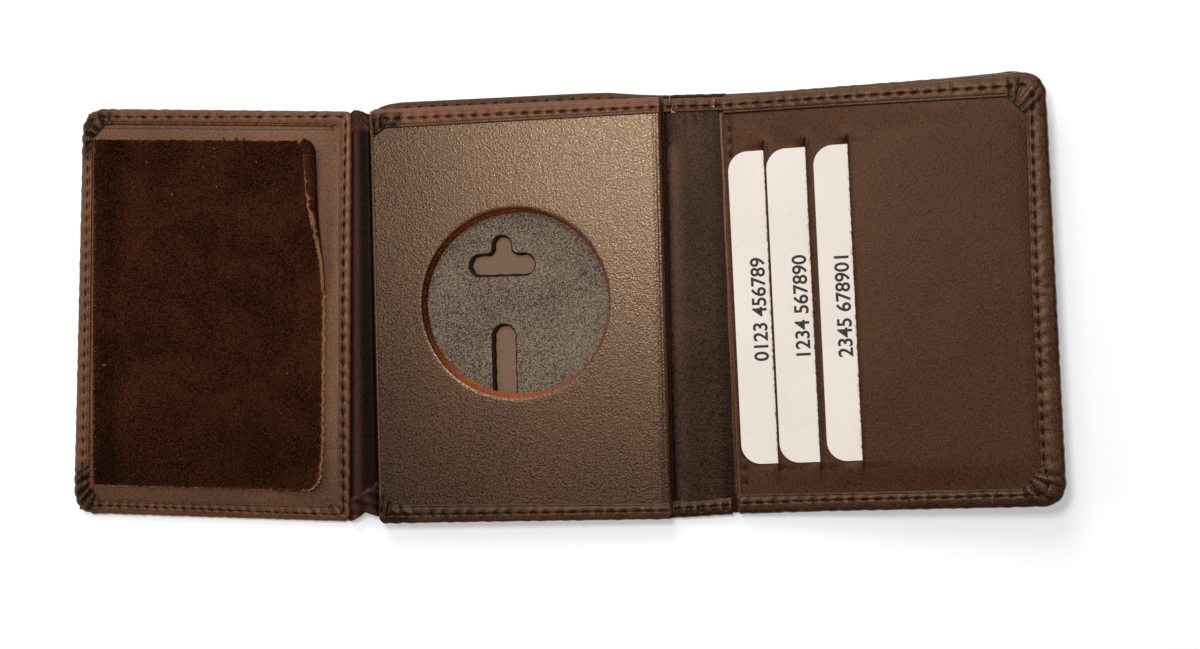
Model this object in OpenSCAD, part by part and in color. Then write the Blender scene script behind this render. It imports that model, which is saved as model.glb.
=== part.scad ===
// Leather wallet for a round badge and an identity card, lying open with its inside up.
// X runs from the ID flap to the card panel, Y from the bottom edge to the top edge, Z up.
// The origin is on the table, under the middle of the badge panel.

/* [Panels] */
// Leather above and below the display cards on the inner panels
card_margin = 14.95; // [13.2:0.05:19]
// Height of the outer shell above the top edge of the inner panels
shell_rise = 1.6; // [0.5:0.1:4]
// Width of the badge panel
badge_w = 81.5; // [80:0.5:95]
// Width of the spine between the two large panels
spine_w = 18.2; // [16:0.1:22]
// Leather to the right of the third card on the card panel
card_edge = 8.7; // [8:0.1:20]
// Width of the ID flap
flap_w = 79; // [77:0.5:84]
// Width of the valley between the flap and the badge panel
valley_w = 7.8; // [5.5:0.1:9]
// Radius of the outer corners of the flap and the card panel
corner_r = 6; // [5:0.5:9]
// Radius of the corners beside the valley
valley_corner_r = 2; // [1:0.5:4]

/* [Leather and layers] */
// Thickness of the outer shell
shell_t = 1; // [0.9:0.05:1.3]
// Height of the open bill pocket behind the inner panels
bill_gap = 0.6; // [0.4:0.1:1.5]
// Thickness of the inner wall of the bill pocket
liner_t = 0.6; // [0.4:0.1:1]
// Width of the turned edges
lap_w = 5; // [4:0.1:5.5]
// Thickness of a turned edge on top of its panel
lap_t = 0.5; // [0.3:0.05:0.8]
// Rounding of the turned edges
edge_r = 0.9; // [0.4:0.05:0.9]

/* [Badge panel] */
// Radius of the round cut-out that frames the badge
badge_r = 26.2; // [24:0.2:29]
// Place of the cut-out's centre to the right of the panel's middle
badge_x = -1; // [-4:0.1:4]
// Place of the cut-out's centre above the panel's middle
badge_y = 2.4; // [-4:0.1:6]
// Thickness of the panel's leather skin
skin_t = 0.9; // [0.7:0.05:1.2]
// Thickness of the stiff board under the skin
core_t = 2; // [1.5:0.1:3]
// Thickness of the leather floor under the badge backing
floor_t = 0.7; // [0.5:0.05:1]
// Thickness of the badge backing
backing_t = 1.1; // [0.8:0.05:1.5]
// Width of the board's closed rim round the backing
rim_w = 6; // [4:0.5:8]

/* [Clip holes in the badge backing] */
// Distance of both holes to the left of the cut-out's centre
clip_shift = 3.8; // [0:0.1:6]
// Width of the upper hole's bar
clover_w = 18.9; // [14:0.1:22]
// Height of the upper hole's bar
clover_h = 6.6; // [5:0.1:8]
// Height of the bar's middle above the cut-out's centre
clover_y = 10.8; // [8:0.1:12]
// Radius of the upper hole's lobe
lobe_r = 2.9; // [2.2:0.1:3.6]
// Height of the lobe's top above the bar
lobe_rise = 5.1; // [4:0.1:6]
// Radius of the hollow corners beside the lobe
lobe_fillet_r = 1.4; // [0.8:0.1:1.8]
// Width of the lower hole, a slot
slot_w = 7; // [5:0.1:8]
// Length of the slot
slot_l = 26; // [18:0.5:30]
// Depth of the slot's top below the cut-out's centre
slot_y = 5.5; // [3:0.1:8]

/* [Card panel] */
// Thickness of the slit leather
face_t = 0.7; // [0.6:0.05:0.9]
// Place of the first slit from the panel's left edge
first_slit_x = 10.6; // [10.2:0.1:13]
// Distance from slit to slit
slit_pitch = 11.6; // [11:0.1:12]
// Length of a slit beyond each end of its card
slit_over = 2.2; // [1.7:0.1:3.2]
// Height of the slits' middle below the panel's middle
slit_drop_y = 0.8; // [0:0.1:1.5]
// Thickness of the pocket linings behind the slits
lining_t = 0.2; // [0.1:0.05:0.3]

/* [Display cards] */
// Length of a card
card_l = 85.6; // [80:0.1:86]
// Width of a card
card_w = 54; // [52:0.1:54.5]
// Thickness of a card
card_t = 0.35; // [0.25:0.05:0.5]
// Radius of the cards' corners
card_r = 5.4; // [3:0.1:8]
// Width of the first card that shows beside its slit
card1_show_w = 10; // [8:0.1:10.1]
// Width of the second card that shows
card2_show_w = 10.9; // [8:0.1:11]
// Width of the third card that shows
card3_show_w = 9.5; // [8:0.1:11]

/* [ID flap] */
// Thickness of the flap's outer leather
flap_t = 0.9; // [0.7:0.05:1.2]
// Thickness of the clear window
window_t = 0.3; // [0.2:0.05:0.5]
// Thickness of the flap's inner leather
field_t = 0.8; // [0.7:0.05:1]
// Width of the window
window_w = 51; // [46:0.5:54]
// Height of the window
window_h = 83; // [76:0.5:85]
// Width of the pocket that holds the identity card
pocket_w = 57; // [55:0.5:60]
// Room above and below the identity card in its pocket
pocket_room = 1.2; // [0.5:0.1:3]
// Thickness of the suede page over the pocket
suede_t = 0.85; // [0.6:0.05:1]
// Bare leather to the right of the suede page
suede_right = 8.5; // [7:0.1:10]
// Bare leather above the suede page
suede_top = 8.2; // [6:0.1:10]
// Bare leather below the suede page
suede_bottom = 8.8; // [6:0.1:10]
// Radius of the suede page's free corners
suede_r = 4; // [2:0.5:8]
// Thickness of the leather strip in the valley
strip_t = 0.9; // [0.7:0.05:1.2]
// Height of the strip's fold beside the badge panel
strip_in_z = 3.7; // [3.5:0.1:5]
// Height of the strip's fold beside the flap
strip_out_z = 2.4; // [2.2:0.1:3]

/* [Rest pose] */
// Angle by which the spine rises from the table, in degrees
spine_raise = 3; // [0:0.5:5]
// Angle by which the card panel rises from the spine, in degrees
card_raise = 2; // [0:0.5:5]
// Turn of the soft card panel on the table, in degrees
card_turn = 1.2; // [0:0.1:2]
// Turn of the soft flap on the table, in degrees
flap_turn = -2.6; // [-3:0.1:0]

/* [Hidden] */
$fn = 48;

// Clearances: in the loose fits, at the creases, and round a card in its pocket
slip = 0.1;
crease_gap = 0.15;
pocket_clear = 0.6;
// Overrun of every cut
cut = 1;

// Sizes that follow from the cards: the inner panels' height, the slits and the pocket
panel_h = card_l + 2 * card_margin;
slit_h = card_l + 2 * slit_over;
pocket_h = card_l + 2 * pocket_room;

// Heights of the layers, counted up from the table
bottom_y = -panel_h / 2;
top_y = panel_h / 2;
z_bill = shell_t + bill_gap;
z_liner = z_bill + liner_t;
z_floor = z_liner + floor_t;
z_backing = z_floor + slip;
z_board = z_backing + backing_t + slip;
z_skin = z_board + core_t;
z_badge = z_skin + skin_t;
z_face = z_liner + face_t;
z_field = flap_t + window_t + field_t;
z_suede = z_field + slip / 2;

// Creases: the first beside the badge panel, the second beside the card panel
crease_z = z_liner + lap_t;
crease_x = badge_w / 2 + crease_gap;
lean_x = (top_y + shell_rise) * sin(card_turn);
crease_span = spine_w - 2 * crease_gap - lean_x;

// Folds of the strip in the valley and the flap's right edge
fold_in_x = -(badge_w / 2 + crease_gap + strip_t / 2);
flap_x = -(badge_w / 2 + valley_w);
fold_out_x = flap_x + crease_gap + strip_t / 2;
strip_slope = atan((strip_in_z - strip_out_z) / (fold_in_x - fold_out_x));

// Slits, and the left and right edges of the cards, from the card panel's left edge
slit_x = [for (i = [0:2]) first_slit_x + i * slit_pitch];
card_show_w = [card1_show_w, card2_show_w, card3_show_w];
card_left = [for (i = [0:2]) slit_x[i] - card_show_w[i]];
card_right = [for (i = [0:2]) card_left[i] + card_w];
card_side_w = card_right[2] + card_edge;

// Each card lies on the strip to its left and dives under the strip to its right.
// Its fall per length lets it clear the card below it, or the liner, at that one's far edge.
lip_drop = face_t - lining_t;
fall_1 = (lip_drop - slip / 2) / (card_right[0] - slit_x[0]);
fall_2 = lip_drop / (card_right[0] - slit_x[1]) + fall_1;
fall_3 = lip_drop / (card_right[1] - slit_x[2]) + fall_2;
card_fall = [fall_1, fall_2, fall_3];
// Height of the leather under each card at its slit
strip_rise = slip + card_t + slip + face_t;
lip_1 = z_face;
lip_2 = lip_1 + strip_rise - fall_1 * slit_pitch;
lip_3 = lip_2 + strip_rise - fall_2 * slit_pitch;
lip_z = [lip_1, lip_2, lip_3];

pocket_end_x = card_right[2] + pocket_clear;
face_end_x = card_side_w - lap_w;
slit_low_y = -slit_h / 2 - slit_drop_y;
slit_high_y = slit_h / 2 - slit_drop_y;

leather_colour = "#5b4034";
shell_colour = "#3b2620";

// Height of the line under card i, at x on the card panel
function under_card(i, x) = lip_z[i] - card_fall[i] * (x - slit_x[i]);

// Height of the leather's underside and top over card i
function strip_low(i, x) = under_card(i, x) + slip + card_t + slip;
function strip_high(i, x) = strip_low(i, x) + face_t;

// Flat outline from x = 0 to w, with one radius for its left and one for its right corners
module outline(w, low_y, high_y, left_r, right_r) {
    h = high_y - low_y;
    translate([left_r, low_y]) square([w - left_r - right_r, h]);
    translate([0, low_y + left_r]) square([w / 2, h - 2 * left_r]);
    translate([w / 2, low_y + right_r]) square([w / 2, h - 2 * right_r]);
    if (left_r > 0)
        for (y = [low_y + left_r, high_y - left_r]) translate([left_r, y]) circle(left_r);
    if (right_r > 0)
        for (y = [low_y + right_r, high_y - right_r]) translate([w - right_r, y]) circle(right_r);
}

// Section of the shell's turned edge: a foot, a rolled wall and a lap on top.
// The section's x runs inwards from the outer edge, and its y up.
module turned_section(h, lap) {
    difference() {
        union() {
            translate([edge_r, 0]) square([lap - edge_r, h]);
            translate([0, edge_r]) square([lap, h - 2 * edge_r]);
            translate([edge_r, edge_r]) circle(edge_r);
            translate([edge_r, h - edge_r]) circle(edge_r);
        }
        translate([shell_t, shell_t]) square([lap, h - shell_t - lap_t]);
    }
}

// Section of a binding over the top edge of the inner layers: a wall and a lap
module binding_section(low_z, high_z) {
    h = high_z - low_z;
    difference() {
        union() {
            translate([edge_r, low_z]) square([lap_w - edge_r, h]);
            translate([0, low_z]) square([lap_w, h - edge_r]);
            translate([edge_r, high_z - edge_r]) circle(edge_r);
        }
        translate([shell_t, low_z - cut]) square([lap_w, h - lap_t + cut]);
        translate([0, low_z - 2 * edge_r]) square([lap_w, 2 * edge_r]);
    }
}

// A section drawn out along X, with its inward side towards +Y
module run_x(l) {
    rotate([90, 0, 90]) linear_extrude(l) children();
}

// A section drawn out along Y, with its inward side towards -X
module run_y(l) {
    rotate([90, 0, 180]) linear_extrude(l) children();
}

// A quarter turn of the shell's turned edge round an outer corner, at the upper right
module turned_corner(h) {
    rotate_extrude(angle = 90)
        translate([corner_r, 0]) mirror([1, 0]) turned_section(h, min(lap_w, corner_r));
}

// The gathered pleat that fills the inner corner of the laps, at the upper right
module pleat(leg) {
    lap_edge = corner_r - lap_w;
    polygon([[lap_edge, lap_edge], [lap_edge - leg, lap_edge], [lap_edge, lap_edge - leg]]);
}

// Places for the bodies that rest at an angle: children are drawn as if flat on the table,
// with x from the crease or the panel's left edge
module on_spine() {
    translate([crease_x, 0, crease_z])
        rotate([0, -spine_raise, 0])
            translate([0, 0, -crease_z]) children();
}

module on_card_panel() {
    on_spine()
        translate([crease_span, 0, crease_z])
            rotate([0, -card_raise, 0])
                translate([lean_x + crease_gap, 0, -crease_z])
                    rotate([0, 0, card_turn]) children();
}

module on_flap() {
    translate([flap_x, 0, 0]) rotate([0, 0, flap_turn]) children();
}

// Badge panel, the part that everything else hangs on

module badge_outline() {
    translate([-badge_w / 2, 0])
        outline(badge_w, bottom_y, top_y + shell_rise, valley_corner_r, 0);
}

// Room inside the shell's edges for the layers of the badge panel
module badge_layer(t) {
    linear_extrude(t)
        translate([shell_t - badge_w / 2, bottom_y + shell_t])
            square([badge_w - shell_t, panel_h - 2 * shell_t]);
}

module badge_hole(t) {
    translate([badge_x, badge_y, -cut]) cylinder(r = badge_r, h = t + 2 * cut);
}

module shell_back() color(shell_colour) {
    intersection() {
        union() {
            translate([-badge_w / 2, bottom_y + edge_r, 0])
                cube([badge_w, panel_h + shell_rise - edge_r, shell_t]);
            translate([-badge_w / 2, bottom_y + edge_r, 0])
                cube([shell_t, panel_h - edge_r - shell_t, z_floor]);
            translate([-badge_w / 2, bottom_y, 0])
                run_x(badge_w) turned_section(z_badge + lap_t, lap_w);
        }
        linear_extrude(z_badge + 2 * lap_t) badge_outline();
    }
}

module badge_liner() color("#4a2f26") {
    translate([0, 0, z_bill]) badge_layer(liner_t);
}

module badge_floor() color("#8a6553") {
    translate([0, 0, z_liner]) badge_layer(floor_t);
}

// The board is closed at the left, top and bottom, and open at the right, where the pocket
// round the backing has its mouth
module badge_board() color("#7c3a1c") {
    side_x = shell_t - badge_w / 2;
    low_y = bottom_y + shell_t;
    rim_t = z_board - z_floor;
    difference() {
        translate([side_x, low_y, z_floor])
            cube([badge_w - 2 * shell_t, panel_h - 2 * shell_t, rim_t + core_t]);
        translate([side_x + rim_w, low_y + rim_w, z_floor - cut])
            cube([badge_w, panel_h - 2 * shell_t - 2 * rim_w, rim_t + cut]);
        translate([0, 0, z_board]) badge_hole(core_t);
    }
}

// The skin wraps the board's left edge and its right edge above the open side
module badge_skin() color(leather_colour) {
    low_y = bottom_y + shell_t;
    run = panel_h - 2 * shell_t;
    difference() {
        union() {
            translate([-badge_w / 2, low_y, z_skin]) cube([badge_w, run, skin_t]);
            translate([-badge_w / 2, low_y, z_floor]) cube([shell_t, run, z_skin - z_floor]);
            translate([badge_w / 2 - shell_t, low_y, z_board]) cube([shell_t, run, core_t]);
        }
        translate([0, 0, z_skin]) badge_hole(skin_t);
    }
}

module badge_top_edge() color(shell_colour) {
    intersection() {
        translate([-badge_w / 2, top_y, 0])
            mirror([0, 1, 0]) run_x(badge_w) binding_section(z_bill, z_badge + lap_t);
        linear_extrude(z_badge + 2 * lap_t)
            translate([-badge_w / 2, 0]) outline(badge_w, bottom_y, top_y, valley_corner_r, 0);
    }
}

// Upper hole for the badge's clip: a bar with round ends and a lobe on its middle
module clover() {
    end_r = clover_h / 2;
    lobe_y = end_r + lobe_rise - lobe_r;
    fillet_x = lobe_r + lobe_fillet_r;
    for (side = [-1, 1]) translate([side * (clover_w / 2 - end_r), 0]) circle(end_r);
    translate([end_r - clover_w / 2, -end_r]) square([clover_w - clover_h, clover_h]);
    translate([0, lobe_y]) circle(lobe_r);
    translate([-lobe_r, 0]) square([2 * lobe_r, lobe_y]);
    difference() {
        translate([-fillet_x, 0]) square([2 * fillet_x, end_r + lobe_fillet_r]);
        for (side = [-1, 1])
            translate([side * fillet_x, end_r + lobe_fillet_r]) circle(lobe_fillet_r);
    }
}

module clip_slot() {
    translate([0, -slot_w / 2]) circle(slot_w / 2);
    translate([-slot_w / 2, -slot_l]) square([slot_w, slot_l - slot_w / 2]);
}

module badge_backing() color("#5c534c") {
    left_x = shell_t + rim_w + slip - badge_w / 2;
    low_y = bottom_y + shell_t + rim_w + slip;
    translate([0, 0, z_backing]) linear_extrude(backing_t)
        difference() {
            translate([left_x, low_y])
                square([badge_w / 2 - shell_t - pocket_clear - left_x, -2 * low_y]);
            translate([badge_x - clip_shift, badge_y + clover_y]) clover();
            translate([badge_x - clip_shift, badge_y - slot_y]) clip_slot();
        }
}

// Spine

// Plan of the spine between two heights on Y; its right edge follows the turned card panel
module spine_plan(low_y, high_y, inset) {
    end_x = crease_span + lean_x - crease_gap;
    lean = tan(card_turn);
    polygon([
        [crease_gap, low_y], [end_x - low_y * lean - inset, low_y],
        [end_x - high_y * lean - inset, high_y], [crease_gap, high_y]
    ]);
}

module shell_spine() color(shell_colour) {
    on_spine() {
        linear_extrude(shell_t) spine_plan(bottom_y + edge_r, top_y + shell_rise, 0);
        intersection() {
            translate([0, bottom_y, 0]) run_x(2 * spine_w) turned_section(crease_z, lap_w);
            linear_extrude(crease_z) spine_plan(bottom_y, bottom_y + lap_w, 0);
        }
    }
}

module spine_liner() color("#3f2a22") {
    on_spine()
        translate([0, 0, z_bill])
            linear_extrude(liner_t) spine_plan(bottom_y + shell_t, top_y - shell_t, 0);
}

module spine_top_edge() color(leather_colour) {
    on_spine()
        intersection() {
            translate([0, top_y, 0])
                mirror([0, 1, 0]) run_x(2 * spine_w) binding_section(z_bill, crease_z);
            linear_extrude(crease_z) spine_plan(top_y - lap_w, top_y, 0);
        }
}

// Card panel

module shell_front() color(shell_colour) {
    straight_y = bottom_y + corner_r;
    on_card_panel() {
        linear_extrude(shell_t)
            outline(card_side_w - edge_r, bottom_y + edge_r, top_y + shell_rise, 0,
                corner_r - edge_r);
        translate([0, bottom_y, 0])
            run_x(card_side_w - corner_r) turned_section(z_face + lap_t, lap_w);
        translate([card_side_w, straight_y, 0])
            run_y(panel_h - 2 * corner_r) turned_section(z_face + lap_t, lap_w);
        for (flip = [0, 1])
            mirror([0, flip, 0]) translate([card_side_w - corner_r, top_y - corner_r, 0])
                turned_corner(z_face + lap_t);
        translate([0, 0, z_face]) linear_extrude(lap_t) card_pleats();
    }
}

// Pleats at both outer corners of the card panel
module card_pleats() {
    for (flip = [0, 1])
        mirror([0, flip, 0]) translate([card_side_w - corner_r, top_y - corner_r]) pleat(corner_r);
}

// Room inside the shell's edges for the layers of the card panel
module card_layer() {
    outline(card_side_w - shell_t, bottom_y + shell_t, top_y - shell_t, 0, corner_r - shell_t);
}

module card_liner() color("#4a2f26") {
    on_card_panel() translate([0, 0, z_bill]) linear_extrude(liner_t) card_layer();
}

// Side view of the slit leather: its top runs up over each card and falls to the next slit
module face_profile() {
    polygon([
        [0, z_liner], [0, z_face], [slit_x[0], z_face],
        [slit_x[0], strip_high(0, slit_x[0])], [slit_x[1], strip_high(0, slit_x[1])],
        [slit_x[1], strip_high(1, slit_x[1])], [slit_x[2], strip_high(1, slit_x[2])],
        [slit_x[2], strip_high(2, slit_x[2])], [pocket_end_x, strip_high(2, pocket_end_x)],
        [face_end_x, z_face], [card_side_w, z_face], [card_side_w, z_liner]
    ]);
}

// Side view of the hollow under the strips, where the cards and the linings lie
module hollow_profile() {
    polygon([
        [slit_x[0], z_liner - cut],
        [slit_x[0], strip_low(0, slit_x[0])], [slit_x[1], strip_low(0, slit_x[1])],
        [slit_x[1], strip_low(1, slit_x[1])], [slit_x[2], strip_low(1, slit_x[2])],
        [slit_x[2], strip_low(2, slit_x[2])], [pocket_end_x, strip_low(2, pocket_end_x)],
        [pocket_end_x, z_liner - cut]
    ]);
}

// End view that lets the leather fall from the slits' ends to the turned edges
module roof_profile() {
    ridge_z = strip_high(2, slit_x[2]);
    polygon([
        [bottom_y, z_liner], [bottom_y, z_face], [bottom_y + lap_w, z_face],
        [slit_low_y, ridge_z], [slit_high_y, ridge_z],
        [top_y - lap_w, z_face], [top_y, z_face], [top_y, z_liner]
    ]);
}

module card_face() color(leather_colour) {
    on_card_panel()
        difference() {
            intersection() {
                translate([0, top_y, 0]) rotate([90, 0, 0]) linear_extrude(panel_h) face_profile();
                run_x(card_side_w) roof_profile();
                linear_extrude(strip_high(2, 0)) card_layer();
            }
            translate([0, slit_high_y, 0])
                rotate([90, 0, 0]) linear_extrude(slit_h) hollow_profile();
            translate([0, 0, z_face]) linear_extrude(strip_high(2, 0)) card_pleats();
        }
}

module card_top_edge() color(shell_colour) {
    on_card_panel()
        translate([0, top_y, 0]) mirror([0, 1, 0])
            run_x(card_side_w - corner_r) binding_section(z_bill, z_face + lap_t);
}

// Flat place on the slope of card i: x from its slit, z from the leather under it there
module on_card_slope(i) {
    on_card_panel()
        translate([slit_x[i], -slit_drop_y, lip_z[i]])
            rotate([0, atan(card_fall[i]), 0]) children();
}

module pocket_lining(i) {
    lining_l = card_l + 2 * pocket_clear;
    on_card_slope(i)
        translate([0, -lining_l / 2, -lining_t])
            cube([card_right[i] - slit_x[i], lining_l, lining_t]);
}

module card_lining_1() color("#2b2320") { pocket_lining(0); }
module card_lining_2() color("#2b2320") { pocket_lining(1); }
module card_lining_3() color("#2b2320") { pocket_lining(2); }

module display_card(i) {
    on_card_slope(i)
        translate([-card_show_w[i], 0, slip])
            linear_extrude(card_t) outline(card_w, -card_l / 2, card_l / 2, card_r, card_r);
}

module card_1() color("#efe6da") { display_card(0); }
module card_2() color("#efe6da") { display_card(1); }
module card_3() color("#efe6da") { display_card(2); }

// Strip in the valley, sloping from the badge panel down to the flap

module hinge_strip() color("#36221b") {
    half_h = panel_h / 2 - shell_t;
    reach = fold_in_x - flap_x - 2 * crease_gap;
    lean = tan(flap_turn);
    translate([fold_in_x, 0, strip_in_z])
        rotate([0, -strip_slope, 0]) {
            rotate([90, 0, 0]) cylinder(d = strip_t, h = 2 * half_h, center = true);
            translate([0, 0, -strip_t / 2]) linear_extrude(strip_t)
                polygon([
                    [0, -half_h], [0, half_h],
                    [-reach - half_h * lean, half_h], [-reach + half_h * lean, -half_h]
                ]);
        }
}

// ID flap, drawn with x = 0 at its right edge

module flap_outline(inset, left_r, right_r) {
    translate([inset - flap_w, 0])
        outline(flap_w - 2 * inset, bottom_y + inset, top_y - inset, left_r, right_r);
}

// Leather that is turned over all four edges, with the window cut in its outside
module flap_cover() color(shell_colour) {
    h = z_field + lap_t;
    pocket_x = (suede_right - flap_w - lap_w) / 2;
    pleat_leg = min(suede_top, suede_bottom) - lap_w - slip;
    on_flap() {
        difference() {
            union() {
                translate([0, 0, edge_r])
                    linear_extrude(h - 2 * edge_r) flap_outline(0, corner_r, valley_corner_r);
                linear_extrude(h) flap_outline(edge_r, corner_r - edge_r, edge_r);
                flap_rolls(edge_r);
                flap_rolls(h - edge_r);
            }
            translate([0, 0, flap_t])
                linear_extrude(z_field - flap_t)
                    flap_outline(shell_t, corner_r - shell_t, edge_r);
            translate([0, 0, z_field])
                linear_extrude(lap_t + cut) flap_outline(lap_w, edge_r, edge_r);
            translate([-suede_right - edge_r, bottom_y + lap_w + edge_r, z_field])
                cube([suede_right - lap_w / 2 + edge_r, panel_h - 2 * (lap_w + edge_r), cut]);
            translate([pocket_x - window_w / 2, -window_h / 2, -cut])
                cube([window_w, window_h, flap_t + 2 * cut]);
        }
        for (flip = [0, 1])
            mirror([0, flip, 0]) translate([corner_r - flap_w, top_y - corner_r, z_field])
                mirror([1, 0, 0]) linear_extrude(lap_t) pleat(pleat_leg);
    }
}

// Round outer edge of the flap at one height: a bar along each side and a ring at each corner
module flap_rolls(z) {
    long = panel_h - 2 * corner_r;
    short = panel_h - 2 * valley_corner_r;
    wide = flap_w - corner_r - valley_corner_r;
    translate([edge_r - flap_w, 0, z])
        rotate([90, 0, 0]) cylinder(r = edge_r, h = long, center = true);
    translate([-edge_r, 0, z])
        rotate([90, 0, 0]) cylinder(r = edge_r, h = short, center = true);
    for (y = [bottom_y + edge_r, top_y - edge_r])
        translate([corner_r - flap_w, y, z]) rotate([0, 90, 0]) cylinder(r = edge_r, h = wide);
    for (flip = [0, 1]) mirror([0, flip, 0]) {
        translate([corner_r - flap_w, top_y - corner_r, z])
            rotate([0, 0, 90]) rotate_extrude(angle = 90)
                translate([corner_r - edge_r, 0]) circle(edge_r);
        translate([-valley_corner_r, top_y - valley_corner_r, z])
            rotate_extrude(angle = 90) translate([valley_corner_r - edge_r, 0]) circle(edge_r);
    }
}

module id_window() color("#b9c6cf", 0.4) {
    on_flap() translate([0, 0, flap_t])
        linear_extrude(window_t) flap_outline(shell_t, corner_r - shell_t, edge_r);
}

// Inner leather of the flap, cut open for the identity card
module flap_field() color(leather_colour) {
    pocket_x = (suede_right - flap_w - lap_w) / 2;
    on_flap() translate([0, 0, flap_t + window_t])
        linear_extrude(field_t)
            difference() {
                flap_outline(shell_t, corner_r - shell_t, edge_r);
                translate([pocket_x - pocket_w / 2, -pocket_h / 2]) square([pocket_w, pocket_h]);
            }
}

// Suede page that hinges along its left edge, beside the turned edge of the flap
module suede_page() color("#33201a") {
    low_y = bottom_y + suede_bottom;
    high_y = top_y - suede_top;
    left_x = lap_w + crease_gap + suede_t / 2 - flap_w;
    on_flap() translate([left_x, 0, z_suede]) {
        translate([0, (low_y + high_y) / 2, suede_t / 2])
            rotate([90, 0, 0]) cylinder(d = suede_t, h = high_y - low_y, center = true);
        linear_extrude(suede_t) outline(-suede_right - left_x, low_y, high_y, 0, suede_r);
    }
}

shell_back();
badge_liner();
badge_floor();
badge_board();
badge_skin();
badge_top_edge();
badge_backing();
shell_spine();
spine_liner();
spine_top_edge();
shell_front();
card_liner();
card_face();
card_top_edge();
card_lining_1();
card_lining_2();
card_lining_3();
card_1();
card_2();
card_3();
hinge_strip();
flap_cover();
id_window();
flap_field();
suede_page();
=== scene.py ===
import math
import bpy
import numpy as np
from mathutils import Matrix, Vector


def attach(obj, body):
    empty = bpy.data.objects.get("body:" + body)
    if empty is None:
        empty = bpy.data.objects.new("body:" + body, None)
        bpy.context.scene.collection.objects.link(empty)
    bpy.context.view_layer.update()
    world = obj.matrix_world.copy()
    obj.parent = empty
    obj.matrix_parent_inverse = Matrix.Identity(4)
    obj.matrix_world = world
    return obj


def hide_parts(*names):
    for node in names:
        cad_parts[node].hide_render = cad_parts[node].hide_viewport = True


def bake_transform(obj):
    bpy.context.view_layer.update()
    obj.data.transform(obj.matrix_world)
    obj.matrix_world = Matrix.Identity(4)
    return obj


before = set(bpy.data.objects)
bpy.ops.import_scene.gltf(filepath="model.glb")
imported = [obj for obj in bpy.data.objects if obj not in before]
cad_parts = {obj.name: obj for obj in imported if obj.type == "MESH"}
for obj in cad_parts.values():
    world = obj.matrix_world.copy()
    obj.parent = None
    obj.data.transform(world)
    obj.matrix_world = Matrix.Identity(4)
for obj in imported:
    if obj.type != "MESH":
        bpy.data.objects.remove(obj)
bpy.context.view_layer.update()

# View and light. The wallet lies open on a white table and is seen from almost straight above.
# A lamp above it gives the sheen on the badge panel, the softer ones round it fill the shadows.
camera = bpy.data.objects.new("camera", bpy.data.cameras.new("camera"))
bpy.context.collection.objects.link(camera)
camera.data.sensor_width = 36
camera.data.lens = 67.2
camera.data.clip_start = 0.01
camera.location = (0.0961, -0.01561, 0.61815)
camera.rotation_euler = [math.radians(angle) for angle in (0.881, 6.894, -1.496)]
bpy.context.scene.camera = camera

lit_spot = Vector((0.01, 0, 0))
for name, place, size, watts in (
    ("lamp_above", (-0.010, 0.140, 0.70), 0.12, 2.15),
    ("lamp_beyond", (-0.10, 0.62, 0.62), 0.5, 3.8),
    ("lamp_near", (0.25, -0.65, 0.6), 0.6, 0.5),
    ("lamp_left", (-0.75, 0.05, 0.5), 0.5, 1.9),
):
    lamp = bpy.data.objects.new(name, bpy.data.lights.new(name, "AREA"))
    bpy.context.collection.objects.link(lamp)
    lamp.data.size = size
    lamp.data.energy = watts
    lamp.location = place
    lamp.rotation_euler = (lit_spot - Vector(place)).to_track_quat("-Z", "Y").to_euler()

bpy.context.scene.view_settings.view_transform = "Standard"


# Table and backdrop: a matt white sheet, white to the camera, which keeps the wallet's shadow.
# Its finish is the first one made here. A finish is a material under construction, and an amount
# is a number that varies over the surface: sums and products of amounts add the nodes for them.
class Amount:
    def __init__(self, finish, socket):
        self.finish, self.socket = finish, socket

    def sum(self, operation, *terms):
        return self.finish.node("Math", {"operation": operation}, dict(enumerate(terms)))

    def __add__(self, other):
        return self.sum("ADD", self, other)

    def __sub__(self, other):
        return self.sum("SUBTRACT", self, other)

    def __rsub__(self, other):
        return self.sum("SUBTRACT", other, self)

    def __mul__(self, other):
        return self.sum("MULTIPLY", self, other)

    __radd__ = __add__
    __rmul__ = __mul__

    def between(self, low, high):
        """0 below low, 1 above high"""
        return self.finish.node(
            "MapRange", {"interpolation_type": "SMOOTHSTEP"}, {"Value": self, 1: low, 2: high}
        )


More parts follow.
